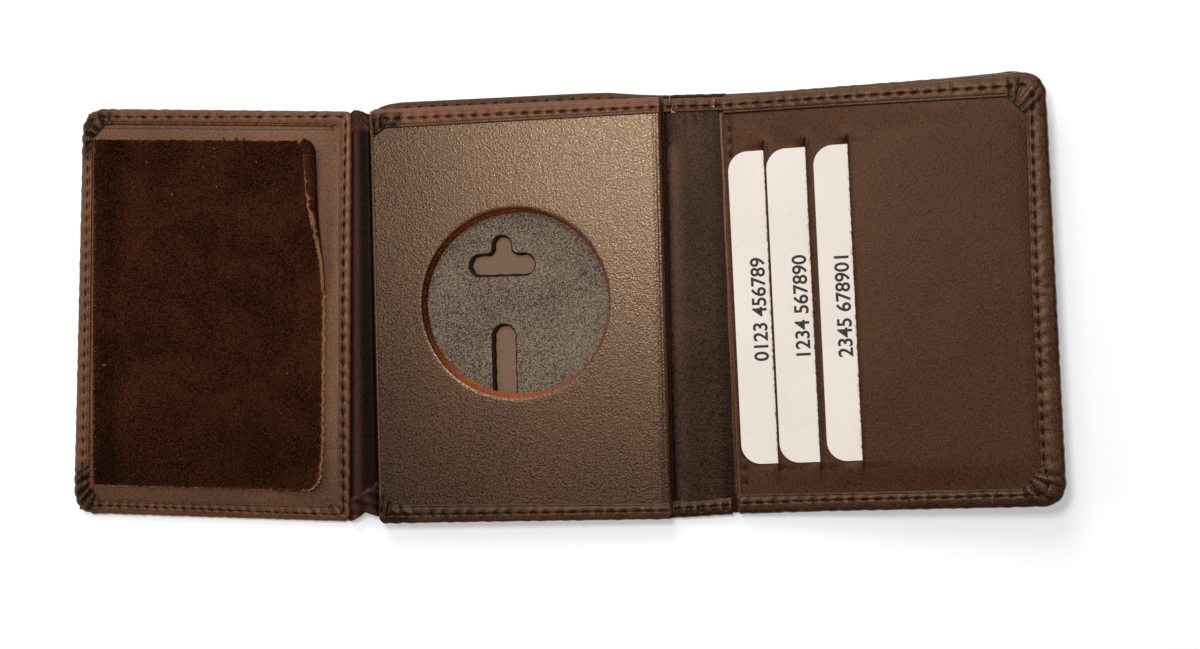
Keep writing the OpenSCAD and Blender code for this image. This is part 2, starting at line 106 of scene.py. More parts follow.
class Finish:
    def __init__(self, name, roughness=0.5, shine=0.3):
        self.material = bpy.data.materials.new(name)
        self.material.use_nodes = True
        self.tree = self.material.node_tree
        self.shader = self.tree.nodes["Principled BSDF"]
        self.shader.inputs["Roughness"].default_value = roughness
        self.shader.inputs["Specular IOR Level"].default_value = shine
        # Object coordinates in millimetres
        where = self.node("TexCoord", {}, {}, "Object")
        self.mm = self.node("VectorMath", {"operation": "SCALE"}, {0: where, "Scale": 1000.0})

    def node(self, kind, settings, sockets, output=0):
        node = self.tree.nodes.new("ShaderNode" + kind)
        for key, value in settings.items():
            setattr(node, key, value)
        for key, value in sockets.items():
            if isinstance(value, Amount):
                self.tree.links.new(value.socket, node.inputs[key])
            else:
                node.inputs[key].default_value = value
        return Amount(self, node.outputs[output])

    def set(self, socket, value):
        self.tree.links.new(value.socket, self.shader.inputs[socket])

    def cloud(self, per_mm, detail=2.0, rough=0.5, twist=0.0, stretch=(1, 1, 1)):
        """Even noise, 0 to 1, with so many waves in a millimetre"""
        at = self.node("Mapping", {}, {"Vector": self.mm, "Scale": stretch})
        sockets = {
            "Vector": at, "Scale": per_mm, "Detail": detail, "Roughness": rough, "Distortion": twist,
        }
        return self.node("TexNoise", {}, sockets)

    def pebbles(self, per_mm, feature="F1", at=None):
        """Distance to the nearest grain's middle, or with DISTANCE_TO_EDGE to its edge"""
        return self.node(
            "TexVoronoi", {"feature": feature}, {"Vector": at or self.mm, "Scale": per_mm}
        )

    def shaded_and_worn(self):
        """The wear and painted light and shade that a piece's points carry"""
        return self.node("Attribute", {"attribute_name": "wear_and_shade"}, {}, "Fac")

    def blend(self, share, first, second):
        """A colour between two colours, each three numbers as written or a socket"""
        sockets = {"Factor": share}
        for key, colour in ((6, first), (7, second)):
            sockets[key] = colour if isinstance(colour, Amount) else (*linear(colour), 1)
        return self.node("Mix", {"data_type": "RGBA"}, sockets, 2)

    def colour(self, share, first, second):
        self.set("Base Color", self.blend(share, first, second))

    def raise_by(self, height, depth_mm):
        """Relief of so many millimetres where height goes from 0 to 1"""
        sockets = {"Height": height, "Distance": depth_mm * 0.001, "Strength": 1.0}
        self.set("Normal", self.node("Bump", {}, sockets))


def linear(colour):
    """Three numbers from 0 to 255 as a picture shows them, in the shader's units"""
    return [
        (c / 255 / 12.92 if c <= 10 else ((c / 255 + 0.055) / 1.055) ** 2.4) for c in colour
    ]


table_z = -0.0003
bpy.ops.object.select_all(action="DESELECT")
bpy.ops.mesh.primitive_plane_add(size=6, location=(0, 0, table_z))
table = bpy.context.object
table.name = "table"
table_white = Finish("table_white", 0.9, 0.0)
table_white.shader.inputs["Base Color"].default_value = (0.8, 0.8, 0.8, 1)
rays = table_white.tree.nodes.new("ShaderNodeLightPath")
seen = Amount(table_white, rays.outputs["Is Camera Ray"])
for kind in ("Is Glossy Ray", "Is Transmission Ray"):
    seen = seen.sum("MAXIMUM", seen, Amount(table_white, rays.outputs[kind]))
table_white.shader.inputs["Emission Strength"].default_value = 0.35
table_white.set("Emission Color", table_white.blend(seen, (0, 0, 0), (255, 255, 255)))
table.data.materials.append(table_white.material)

# Room round the table: plain white to the camera and behind clear plastic, and a dim even light
# on the wallet itself.
world = bpy.data.worlds.new("studio")
bpy.context.scene.world = world
world.use_nodes = True
sky = world.node_tree
ray = sky.nodes.new("ShaderNodeLightPath")
backdrop, plain, choice = (
    sky.nodes.new("ShaderNode" + kind) for kind in ("Background", "Background", "MixShader")
)
backdrop.inputs["Color"].default_value = (1, 1, 1, 1)
plain.inputs["Color"].default_value = (1, 1, 1, 1)
plain.inputs["Strength"].default_value = 0.13
unlit = sky.nodes.new("ShaderNodeMath")
unlit.operation = "MAXIMUM"
for start, end in (
    (ray.outputs["Is Camera Ray"], unlit.inputs[0]),
    (ray.outputs["Is Transmission Ray"], unlit.inputs[1]),
    (unlit.outputs[0], choice.inputs[0]),
    (plain.outputs[0], choice.inputs[1]),
    (backdrop.outputs[0], choice.inputs[2]),
    (choice.outputs[0], sky.nodes["World Output"].inputs["Surface"]),
):
    sky.links.new(start, end)

# Outer shell behind the badge panel and half of the spine: one skin of thick smooth leather that
# bends at the crease. Its top edge stands a little above the inner panels, with its own seam.
# Sizes are in millimetres. Each panel has its own place, turned about the creases beside it.
MM = 0.001
bottom_y = -57.75
badge_left, badge_right = -40.75, 40.75
shell_t = 1.0
spine_raise, card_raise = 3.0, 5.0
card_turn, flap_turn = 1.2, -2.6
crease_z = 2.7
crease_1 = (40.9, 0, crease_z)
crease_2 = (57.534, 0, 3.572)
card_left_x = 1.393
flap_right_x = -48.55
mid_spine_x = 8.33


def turned(axis, degrees):
    return Matrix.Rotation(math.radians(degrees), 4, axis)


on_badge = Matrix.Identity(4)
on_spine = (
    Matrix.Translation(crease_1) @ turned("Y", -spine_raise)
    @ Matrix.Translation((0, 0, -crease_z))
)
on_card = (
    Matrix.Translation(crease_2)
    @ turned("Y", -card_raise)
    @ Matrix.Translation((card_left_x, 0, -crease_z))
    @ turned("Z", card_turn)
)
on_flap = Matrix.Translation((flap_right_x, 0, 0)) @ turned("Z", flap_turn)


def put(points, place):
    """Points of a panel in millimetres, where that panel lies"""
    matrix = np.array(place)
    return points @ matrix[:3, :3].T + matrix[:3, 3]


def waves(x, y, seed=0):
    """Slow unevenness of hand-laid leather, about -1 to 1, from places in millimetres"""
    short = np.sin(x / 9.3 + 1.7 * seed) * np.cos(y / 11.9 - 0.6 * seed)
    middling = np.sin(x / 23.0 - y / 17.0 + 2.3 * seed)
    long = np.cos(x / 41.0 + y / 31.0 + 0.9 * seed)
    return 0.4 * short + 0.35 * middling + 0.25 * long


def smooth(x, low, high):
    """0 below low, 1 above high, with a soft start and end"""
    t = np.clip((x - low) / (high - low), 0, 1)
    return t * t * (3 - 2 * t)


def edit_all(operation, **settings):
    """One edit-mode operation on the whole of the active piece"""
    bpy.ops.object.mode_set(mode="EDIT")
    bpy.ops.mesh.select_all(action="SELECT")
    operation(**settings)
    bpy.ops.object.mode_set(mode="OBJECT")


def thicken(piece, wall):
    """A wall of so many millimetres behind the face"""
    thick = piece.modifiers.new("thick", "SOLIDIFY")
    thick.thickness = wall * MM
    thick.offset = -1
    bpy.ops.object.modifier_apply(modifier="thick")


def leather_form(name, rows, place=on_badge, wall=0.0, facing=(0, 0, 1), wear_and_shade=None, seam=False):
    """A grid whose corners go to the given rows of points. With seam its closing edge is merged."""
    row_count, column_count = rows.shape[:2]
    bpy.ops.object.select_all(action="DESELECT")
    bpy.ops.mesh.primitive_grid_add(
        x_subdivisions=column_count - 1, y_subdivisions=row_count - 1, size=2
    )
    piece = bpy.context.object
    piece.name = piece.data.name = name
    mesh = piece.data
    flat = np.empty(len(mesh.vertices) * 3)
    mesh.vertices.foreach_get("co", flat)
    flat = flat.reshape(-1, 3)
    column = np.rint((flat[:, 0] + 1) / 2 * (column_count - 1)).astype(int)
    row = np.rint((flat[:, 1] + 1) / 2 * (row_count - 1)).astype(int)
    points = put(rows[row, column], place) * MM
    mesh.vertices.foreach_set("co", points.ravel())
    shade = mesh.attributes.new("wear_and_shade", "FLOAT", "POINT")
    shaded_and_worn = np.full(len(points), 0.5) if wear_and_shade is None else wear_and_shade[row, column]
    shade.data.foreach_set("value", shaded_and_worn.astype(np.float32))
    mesh.update()
    normals = np.empty(len(mesh.polygons) * 3)
    areas = np.empty(len(mesh.polygons))
    mesh.polygons.foreach_get("normal", normals)
    mesh.polygons.foreach_get("area", areas)
    if (normals.reshape(-1, 3) @ np.array(facing) * areas).sum() < 0:
        mesh.flip_normals()
    if seam:
        edit_all(bpy.ops.mesh.remove_doubles, threshold=1e-6)
    if wall:
        thicken(piece, wall)
    bpy.ops.object.shade_smooth_by_angle(angle=math.radians(50))
    return piece


def finished(piece, finish, body=None, slot=None, *nodes):
    """Gives a piece its finish, body and the nodes that it stands for. The slot argument is not used.
    """
    piece.data.materials.clear()
    piece.data.materials.append(finish.material)
    if body:
        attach(piece, body)
    if nodes:
        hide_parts(*nodes)
    return piece


def leather(
    name, dark, light, grain=1.7, relief=0.05, roughness=0.42, shine=0.26, crack=0.0, mottle=1.0,
    glint=0.12,
):
    """Dyed full-grain leather: fine pebbles, faint wrinkles, cloudy dye, and the wear and the painted
    light and shade that its points carry.
    Glint is how much the roughness changes from pore to pore."""
    made = Finish(name, roughness, shine)
    made.shader.inputs["Specular Tint"].default_value = (1.0, 0.70, 0.46, 1)
    wobble = made.cloud(0.9, 2.0)
    fine = made.pebbles(grain)
    bent = made.node("VectorMath", {"operation": "ADD"}, {0: made.mm, 1: wobble})
    wrinkle = made.pebbles(0.42, "DISTANCE_TO_EDGE", bent)
    dye = made.cloud(0.035, 3.0, 0.6)
    pores = made.cloud(grain * 1.1, 3.0, 0.75)
    wear_and_shade = made.shaded_and_worn()
    tone_and_shade = (dye - 0.5) * 0.35 + (pores - 0.5) * (1.9 * mottle) + wear_and_shade - fine * (0.6 * mottle)
    made.colour((tone_and_shade + 0.22 * mottle).between(-0.05, 1.05), dark, light)
    made.set("Roughness", roughness + (pores - 0.5) * glint)
    folds = wrinkle.between(0.0, 0.12)
    made.raise_by(fine * 0.6 + pores * 0.7 + folds * (0.12 + crack), relief)
    return made


shell_leather = leather(
    "shell_leather", (40, 24, 16), (100, 67, 49), 1.5, 0.04, 0.42, 0.22, 0.0, 0.9
)

# Height of the shell's top edge from place to place along the badge panel
shell_top = (
    (-41, 58.2), (-36.6, 59.5), (-33, 59.95), (-16, 60.1), (1, 60.25), (18, 60.4), (26, 60.3),
    (34.6, 59.4), (43, 58.8), (58, 58.6),
)
foot_y = bottom_y + 0.9
valley_r = 2.0
bend_start, bend_end = 38.4, 43.4


def shell_height(x, y, share, seed):
    """The shell lies a little uneven and lifts along its free top edge"""
    return 0.04 + 0.04 * waves(x, y, seed) + 0.25 * smooth(share, 0.985, 1.0)


def shell_wear(share):
    """Its raw top edge is paler"""
    return 0.5 + 0.3 * smooth(share, 0.97, 1.0)


across = np.linspace(badge_left, crease_1[0] + mid_spine_x, 110)
up = np.concatenate((np.linspace(0, 0.96, 60), np.linspace(0.965, 1, 10)))
x, share = np.meshgrid(across, up)
top_line = np.interp(x, *zip(*shell_top))
from_corner = np.clip(badge_left + valley_r - x, 0, valley_r)
corner = valley_r - np.sqrt(np.clip(valley_r**2 - from_corner**2, 0, None))
y = foot_y + corner + (top_line - foot_y - 2 * corner) * share
z = shell_height(x, y, share, 1)
turn = np.radians(spine_raise) * smooth(x, bend_start, bend_end)
reach, drop = x - crease_1[0], z - crease_1[2]
rows = np.stack((
    crease_1[0] + reach * np.cos(turn) - drop * np.sin(turn),
    y,
    crease_1[2] + reach * np.sin(turn) + drop * np.cos(turn),
), axis=-1)
shell_badge_side = leather_form(
    "shell_badge_side", rows, wall=shell_t, facing=(0, 0, -1), wear_and_shade=shell_wear(share)
)
finished(shell_badge_side, shell_leather, None, "shell_leather", "shell_back", "shell_spine")
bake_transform(shell_badge_side)

# Outer shell behind the card panel and the other half of the spine, of the same leather.
# It meets the first half in the middle of the spine. The bill pocket lies between both halves
# and the inner panels, and is open at the top.
card_top = (
    (0, 58.5), (10, 58.3), (27, 58.2), (35, 58.0), (51, 58.3), (59, 58.5), (67, 58.7),
    (75, 58.9), (77.8, 59.2), (80.5, 58.8), (83, 57.6), (84.3, 56.4), (85.5, 53.9), (86.2, 51.9),
)
straight_end, shell_right = 80.0, 86.1
shell_corner_r = 5.1
near_end = np.sin(np.linspace(0.12, np.pi / 2, 13))
panel_x = np.concatenate((
    np.linspace(0, straight_end, 60), straight_end + (shell_right - straight_end) * near_end
))
x, share = np.meshgrid(panel_x, up)
top_line = np.interp(x, *zip(*card_top))
from_corner = np.clip(x - (shell_right - shell_corner_r), 0, shell_corner_r)
corner = shell_corner_r - np.sqrt(np.clip(shell_corner_r**2 - from_corner**2, 0, None))
low_line = foot_y + corner
y = low_line + (top_line - low_line) * share
flat_part = put(np.stack((x, y, shell_height(x, y, share, 2)), axis=-1), on_card)
hinge = np.linspace(0, 1, 9)[:-1]
edge_y = y[:, :1] + 0 * hinge
middle = put(np.stack((mid_spine_x + 0 * edge_y, edge_y, 0.04 + 0 * edge_y), axis=-1), on_spine)
bend = middle + (flat_part[:, :1] - middle) * hinge[None, :, None]
rows = np.concatenate((bend, flat_part), axis=1)
shaded_and_worn = shell_wear(np.broadcast_to(up[:, None], rows.shape[:2]))
shell_card_side = leather_form(
    "shell_card_side", rows, wall=shell_t, facing=(0, 0, -1), wear_and_shade=shaded_and_worn
)
finished(shell_card_side, shell_leather, None, "shell_leather", "shell_front")
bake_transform(shell_card_side)

# Turned edges. Thin leather is rolled over a panel's edge and sewn down with a waxed thread,
# so it puffs up between the stitches and gathers into pleats round the corners.
edge_leather = leather(
    "edge_leather", (20, 10, 6), (122, 78, 55), 2.2, 0.035, 0.34, 0.26, 0.15, 0.55
)


def clouded(name, roughness, shine, dark, light, *noise):
    """A plain finish, cloudy between two colours"""
    made = Finish(name, roughness, shine)
    made.colour(made.cloud(*noise), dark, light)
    return made


thread = clouded("thread", 0.55, 0.15, (14, 7, 5), (40, 24, 17), 2.2, 1.0)
thread.raise_by(thread.cloud(5.0), 0.06)
stitch_pitch = 3.6
roll_r = 0.9


def line(start, end, count):
    """So many points from start on, the end left out"""
    return np.linspace(start, end, count, endpoint=False)


def through(*stops):
    """Points along straight runs: a place, the count up to the next place, and so on"""
    places, counts = stops[::2], stops[1::2]
    runs = [line(start, end, count) for start, end, count in zip(places, places[1:], counts)]
    return np.concatenate(runs)


def arc(centre, radius, first, last, count):
    a = np.radians(np.linspace(first, last, count, endpoint=False))
    return np.stack((centre[0] + radius * np.cos(a), centre[1] + radius * np.sin(a)), axis=-1)


def hump(distance, width):
    """1 on a line, fading on both sides of it"""
    return np.exp(-(distance / width) ** 2)


def along_line(points, pitch=1.0):
    """Distance along a line of points, in stitches of so many millimetres"""
    steps = np.linalg.norm(np.diff(points, axis=0), axis=1)
    return np.concatenate(([0], np.cumsum(steps / np.broadcast_to(pitch, len(points))[1:])))


def paced(points, pitch=stitch_pitch):
    """A line of points with the count of stitches as its fourth number"""
    return np.column_stack((points, along_line(points, pitch)))


def stitch_row(name, path, place, body, long=1.0):
    """Waxed stitches along a paced line, each a slanted spindle half sunk in its hollow"""
    bpy.ops.object.select_all(action="DESELECT")
    bpy.ops.mesh.primitive_uv_sphere_add(segments=8, ring_count=5, radius=1)
    row = bpy.context.object
    row.name = name
    spindle = np.array([v.co for v in row.data.vertices])
    spindle = spindle[:, [2, 0, 1]] * (long, 0.19, 0.17)
    faces = [tuple(p.vertices) for p in row.data.polygons]
    pace = path[:, 3]
    numbers = np.arange(math.ceil(pace[0] - 0.4), math.floor(pace[-1] - 0.6) + 1)
    all_points, all_faces = [], []
    for k, number in enumerate(numbers):
        at = number + 0.5 + 0.02 * math.sin(2.7 * k)
        middle, ahead, behind = (
            np.array([np.interp(at + step, pace, path[:, i]) for i in range(3)])
            for step in (0, 0.1, -0.1)
        )
        along = ahead - behind
        along /= np.linalg.norm(along)
        slant = math.radians(9 + 3 * math.sin(1.9 * k))
        along = along * math.cos(slant) + np.cross((0, 0, 1), along) * math.sin(slant)
        beside = np.cross((0, 0, 1), along)
        size = np.array((1 + 0.12 * math.sin(3.3 * k), 1, 1))
        axes = np.array((along, beside, np.cross(along, beside)))
        all_points.append(middle + (spindle * size) @ axes)
        all_faces += [tuple(i + k * len(spindle) for i in face) for face in faces]
    mesh = bpy.data.meshes.new(name)
    mesh.from_pydata((put(np.concatenate(all_points), place) * MM).tolist(), [], all_faces)
    row.data = mesh
    edit_all(bpy.ops.mesh.normals_make_consistent, inside=False)
    bpy.ops.object.shade_smooth()
    return finished(row, thread, body, "edge_leather")


def sewn_edge(
    name, body, place, outer, inner, low, high, in_from_edge,
    nodes=(), unsewn=0, long=1.0, pleats=(), fall=0.0, seam=False, tone_and_shade=0.0, ruck=0.0,
    hollow=0.4, pitch=stitch_pitch, roll_light=0.25,
):
    """A turned edge between two matched outlines, with its stitches from point unsewn on.
    It gathers at pleats and sinks to the field by fall. The tone is painted light and shade that
    lightens or darkens it, ruck puckers it and paints light and shade on the puckers, and hollow is
    half the width of the groove that the stitches pull in. The rim amount paints a highlight on its
    roll, and shade where it is below 0."""
    count = len(outer)
    width = np.linalg.norm(inner - outer, axis=1)
    inward = (inner - outer) / width[:, None]
    sewn_at = np.broadcast_to(np.asarray(in_from_edge, float), count)
    sewn = outer + inward * sewn_at[:, None]
    run = along_line(sewn)
    pace = along_line(sewn, pitch)
    pace = pace * max(1, round(pace[-1])) / pace[-1]
    turn = 2 * np.pi * pace - np.pi
    hole = (0.5 + 0.5 * np.cos(turn)) ** 1.6
    uneven = 1 + 0.35 * np.sin(run * 0.41) * np.cos(run * 0.13 + 1)
    drawn = np.sin(run * 2.05 + 1.6 * np.sin(run * 0.37)) * (0.6 + 0.4 * np.sin(run * 0.83 + 2))
    gathered = np.zeros(count)
    along_pleats = np.zeros(count)
    for start, end, number, size in pleats:
        at = np.arange(start, end)
        part = (at - start) / (end - start)
        gathered[at] = size * np.sin(np.pi * part) ** 0.5
        along_pleats[at] = np.pi * part * number + 0.3 + 0.35 * np.sin(9 * part)
    high = np.broadcast_to(np.asarray(high, float), count)
    fall = np.broadcast_to(np.asarray(fall, float), count)
    raised = 1 - np.clip(fall / 0.25, 0, 1)
    # Where a merged edge sinks to the field, its rim gets a painted highlight.
    glow = (1 - raised) * seam

    # Each row has its distance from the edge, height and painted shade: first the foot under the
    # panel and the roll up to the wall, which are painted darkest, then the wall, the roll on top of
    # it and the sewn lap
    profile = [(inset, low, 0.35) for inset in (2.4, 1.6, roll_r)]
    for angle in np.radians((30, 60, 90)):
        profile.append((roll_r * (1 - math.sin(angle)), low + roll_r * (1 - math.cos(angle)), 0.35))
    wall_low, wall_top = low + roll_r, high - roll_r
    for up_wall in (0.35, 0.7, 1.0):
        bulge = -0.16 * np.sin(np.pi * up_wall)
        profile.append((bulge, wall_low + (wall_top - wall_low) * up_wall, 0.45))
    # The roll on top: a painted highlight by the rim amount, more where the edge sinks, less at the
    # holes.
    for angle in np.radians((25, 50, 75, 90)):
        shade = 0.55 + (roll_light + 0.30 * glow) * math.sin(angle) * (1 - 0.4 * hole)
        profile.append((roll_r * (1 - math.cos(angle)), wall_top + roll_r * math.sin(angle), shade))
    for part in np.concatenate((np.linspace(0.05, 0.80, 18), (0.84, 0.87, 0.9, 0.94, 0.97, 1.0))):
        inset = roll_r + (width - roll_r) * part
        groove, beside = hump(inset - sewn_at, hollow), hump(inset - sewn_at, 1.4)
        crease = np.sin(along_pleats + 1.3 * part + 0.3 * np.sin(5 * part + along_pleats))
        crease = np.abs(crease) ** 0.6
        folded = hump(width - inset - 0.75, 0.16) * raised
        z = high + 0.22 * np.sin(np.pi * np.clip(part * 1.1, 0, 1)) * uneven
        z = z - groove * (0.10 + 0.28 * hole * uneven) - 0.14 * beside * hole
        z = z + gathered * (0.85 * (crease - 0.6)) * (0.25 + 0.75 * np.sin(np.pi * min(part, 0.8)))
        z = z + ruck * drawn * np.sin(np.pi * min(1.15 * part + 0.15, 1))
        z = z - 0.12 * smooth(part, 0.93, 1.0) - fall * smooth(part, 0.45, 1.0) - 0.07 * folded
        # Painted shade in the stitch groove, darkest at the holes, and painted highlights on the
        # puffs between them; painted shade along the fold, under the lap's inner edge and in the
        # pleats' creases, and painted light and shade on the puckers.
        shade = 0.50 - groove * (0.22 + hole * 0.42) + beside * (1 - hole) * 0.20
        shade = shade - 0.3 * folded - 0.45 * raised * hump(width - inset, 0.2)
        shade = shade + gathered * (crease - 1.02) + 0.9 * ruck * drawn
        # Where the edge sinks to the field: a painted highlight along its rim, and the lap lightened
        # towards the field's colour.
        shade = shade + 0.45 * glow * hump(part, 0.12)
        shade = shade + 0.15 * glow * smooth(inset - sewn_at, 0.3, 1.4)
        profile.append((inset, z, shade))

    pulled = 0.045 * np.cos(turn) * uneven + 0.05 * np.sin(run * 0.9) * np.sin(run * 0.31 + 1)
    pulled = pulled + gathered * 0.5 * (0.55 - np.abs(np.sin(along_pleats)) ** 0.7)
    rows, wear_and_shade = [], []
    for index, (inset, z, shade) in enumerate(profile):
        ripple = pulled * (index > 3) * np.clip(1 - inset / 2.5, 0, 1)
        flat = outer + inward * (inset + ripple)[:, None]
        rows.append(np.column_stack((flat, np.broadcast_to(z, count))))
        wear_and_shade.append(np.broadcast_to(shade + tone_and_shade, count))
    piece = leather_form(
        f"{name}_turned", np.array(rows), place, 0.42, wear_and_shade=np.array(wear_and_shade), seam=seam
    )
    finished(piece, edge_leather, body, "edge_leather", *nodes)
    depth = high - 0.342 - fall * smooth(sewn_at / width, 0.45, 1.0)
    path = np.column_stack((sewn, depth, pace))[unsewn:]
    stitch_row(f"{name}_stitches", path, place, body, long)


# Seam along the shell's own top edge, which stands a little above the inner panels: waxed
# thread through the shell alone, on the badge side and on the card side.
shell_top_z = 1.12
for name, left, right, count, top_edge, below, place, body in (
    ("shell_stitches_left", -33, 33, 60, shell_top, 1.5, on_badge, "badge_panel"),
    ("shell_stitches_right", 38, 77, 40, card_top, 0.9, on_card, "card_panel"),
):
    x = np.linspace(left, right, count)
    path = np.column_stack((x, np.interp(x, *zip(*top_edge)) - below, shell_top_z + 0 * x))
    stitch_row(name, paced(path), place, body, 0.8)

# Badge panel's top edge: a strip of thin leather, turned down over the skin and sewn along it.
# It is gathered at the corner by the valley.
corner_r = 2.0
corner_x = badge_left + corner_r
badge_high_z = 7.6
outer = np.concatenate((
    line((-40.7, 50.5), (badge_left, 55.6), 14), arc((corner_x, 55.4), corner_r, 180, 98, 10),
    line((-39.0, 57.4), (badge_right + 0.01, 57.75), 190),
))
inner = np.concatenate((
    through((-39.3, 49.6), 12, (-38.6, 50.6), 18, (-36.4, 51.95)),
    line((-36.0, 52.05), (badge_right, 53.3), 184),
))
# Painted light and shade: darker down the left side and round the gathered corner, lighter along the
# top.
tone_and_shade = np.interp(np.arange(len(outer)), (0, 30, 48), (-0.16, -0.12, 0.12))
sewn_edge(
    "badge_top", "badge_panel", on_badge, outer, inner, 1.7, badge_high_z, 2.9,
    ("badge_top_edge",), 26, pleats=((6, 44, 3.2, 0.8),), tone_and_shade=tone_and_shade,
)

# Badge panel's bottom edge: the outer shell itself, turned up round all layers of the panel and
# sewn through them. It is painted darker, as shade on the bottom edge away from the light, darkest at
# the gathered corner, and it is gathered at the corner by the valley.
outer = np.concatenate((
    line((-40.6, -50.5), (-40.7, -55.6), 14), arc((corner_x, -55.75), corner_r, 180, 262, 10),
    line((-39.0, -57.8), (badge_right + 0.01, -58.0), 190),
))
inner = np.concatenate((
    through((-39.3, -49.6), 12, (-38.6, -50.6), 18, (-36.4, -52.4)),
    line((-36.0, -52.6), (badge_right, -53.5), 184),
))
tone_and_shade = np.interp(np.arange(len(outer)), (0, 30, 50), (-0.36, -0.36, -0.22))
sewn_edge(
    "badge_low", "badge_panel", on_badge, outer, inner, 0.15, badge_high_z, 2.3,
    (), 26, pleats=((6, 44, 3.7, 0.6),), tone_and_shade=tone_and_shade, hollow=0.3, ruck=0.05, roll_light=0.0,
)

# Spine's top and bottom edges: a thin strip turned down at the top, and the shell turned up at
# the bottom. Both are sewn through the soft spine, which puckers under the thread.
spine_high_z = 2.75
outer = line((0.3, 58.2), (17.9, 57.9), 44)
inner = line((0.3, 53.9), (17.3, 53.7), 44)
# Painted light and shade: both edges are darker, the bottom one most, with light and shade on their
# puckers, a painted highlight on the top one's roll and painted shade on the bottom one's roll.
sewn_edge(
    "spine_top", "spine", on_spine, outer, inner, 1.5, spine_high_z, 2.8,
    ("spine_top_edge",), ruck=0.10, tone_and_shade=-0.12, hollow=0.3, roll_light=0.1,
)
outer = line((-0.5, -58.0), (16.7, -57.2), 52)
inner = line((-0.5, -53.4), (16.3, -52.2), 52)
sewn_edge(
    "spine_low", "spine", on_spine, outer, inner, 0.1, spine_high_z, 2.6,
    ruck=0.16, tone_and_shade=-0.3, hollow=0.25, roll_light=-0.15, fall=0.5,
)

# Card panel's edges: the shell is turned up along the bottom and the right, and a thin strip is
# turned down along the top. They meet in the upper right corner, pleated round both corners.
card_right = 87.0
card_corner_r = 6.0
low_corner_x = card_right - card_corner_r
outer = np.concatenate((
    through(
        (-0.7, -57.1), 70, (25, -57.1), 130, (76, bottom_y), 12, (low_corner_x, bottom_y),
    ),
    arc((low_corner_x, bottom_y + card_corner_r), card_corner_r, -90, 0, 24),
    through(
        (card_right, bottom_y + card_corner_r), 12, (card_right, -46.75), 230,
        (card_right, 46.75), 12, (86.9, 52),
    ),
    arc((80.9, 52.2), card_corner_r, 0, 90, 24),
    through((80.9, 58.2), 12, (76, 58.1), 190, (-0.3, 57.75)),
))
inner = through(
    (-0.4, -51.7), 70, (25, -52.0), 130, (75.5, -52.7), 48, (80.6, -47.4), 115, (80.5, 0), 115,
    (81.3, 46.9), 48, (76.6, 51.8), 190, (-0.3, 52.8),
)
point = np.arange(len(outer))
top_from = 70 + 130 + 48 + 230 + 24
sewn_in = np.interp(
    point, (0, 199, 248, 363, 478, 526, len(outer)), (2.9, 3.1, 5.3, 4.9, 3.9, 3.6, 2.7)
)
edge_z = np.interp(outer[:, 0], (-1, 8, 34, 60, 87), (3.4, 3.5, 4.85, 4.8, 4.6))
# Painted light and shade: the turned edges are darker along the bottom than on the right and at the
# top; the bottom and right rolls get painted shade and the top roll a painted highlight.
tone_and_shade = np.interp(
    point, (0, 199, 260, 478, 560, len(outer)), (-0.24, -0.24, -0.12, -0.1, -0.1, -0.14)
)
to = top_from + 1
sewn_edge(
    "card_side", "card_panel", on_card, outer[:to], inner[:to], 0.15, edge_z[:to], sewn_in[:to],
    long=0.8, pleats=((198, 250, 4.6, 0.42), (476, to, 2.3, 0.42)), tone_and_shade=tone_and_shade[:to],
    hollow=0.26, ruck=0.04, roll_light=-0.15,
)
sewn_edge(
    "card_top", "card_panel", on_card, outer[top_from:], inner[top_from:], 1.5,
    edge_z[top_from:], sewn_in[top_from:], ("card_top_edge",), long=0.85,
    pleats=((0, 26, 2.3, 0.42),), tone_and_shade=tone_and_shade[top_from:], hollow=0.32, ruck=0.03, roll_light=0.15,
)

# Badge panel's skin: fine-grained leather over a stiff board, with a round window cut for the
# badge. It rolls over the board's left and right edges.
panel_leather = leather(
    "panel_leather", (25, 12, 7), (95, 58, 39), 1.8, 0.05, 0.28, 0.60, 0.0, 0.7, 0.9
)
hole_x, hole_y, hole_r = -1.0, 2.4, 26.2
badge_z = 7.1
skin_x, skin_high, skin_low = 39.85, 56.2, -56.0
skin_roll = 0.9
press_x = 38.9


def sides(corners, counts):
    """Points along the straight sides between corners, round a closed outline"""
    stops = [stop for pair in zip(corners, counts) for stop in pair] + [corners[0]]
    return np.concatenate((through(*stops), [corners[0]]))


corners = ((skin_x, skin_low), (skin_x, skin_high), (-skin_x, skin_high), (-skin_x, skin_low))
counts = (72, 56, 72, 56)
rect = sides(corners, counts)
angles = [math.degrees(math.atan2(y - hole_y, x - hole_x)) for x, y in corners]
angles = [angles[0]] + [a + 360 * (a < angles[0]) for a in angles[1:]] + [angles[0] + 360]
ring = np.concatenate(
    [arc((0, 0), 1, angles[k], angles[k + 1], count) for k, count in enumerate(counts)]
    + [arc((0, 0), 1, angles[0], angles[0] + 1, 1)]
)
outward = np.column_stack((
    np.sign(rect[:, 0]) * (np.abs(rect[:, 0]) > skin_x - 0.01),
    (rect[:, 1] > skin_high - 0.01) * 1.0 - (rect[:, 1] < skin_low + 0.01),
))
from_hole = (
    0, 0.004, 0.012, 0.03, 0.06, 0.12, 0.2, 0.28, 0.36, 0.45,
    0.54, 0.63, 0.72, 0.81, 0.88, 0.92, 0.945, 0.96, 0.98, 1,
)
window = np.array((hole_x, hole_y)) + ring * hole_r
rows = []
for part in from_hole:
    flat = window + (rect - window) * part
    lift = badge_z - 0.16 * math.exp(-part / 0.006) + 0.05 * waves(flat[:, 0], flat[:, 1], 5)
    rows.append(np.column_stack((flat, lift - 0.10 * hump(flat[:, 0] - press_x, 0.35))))
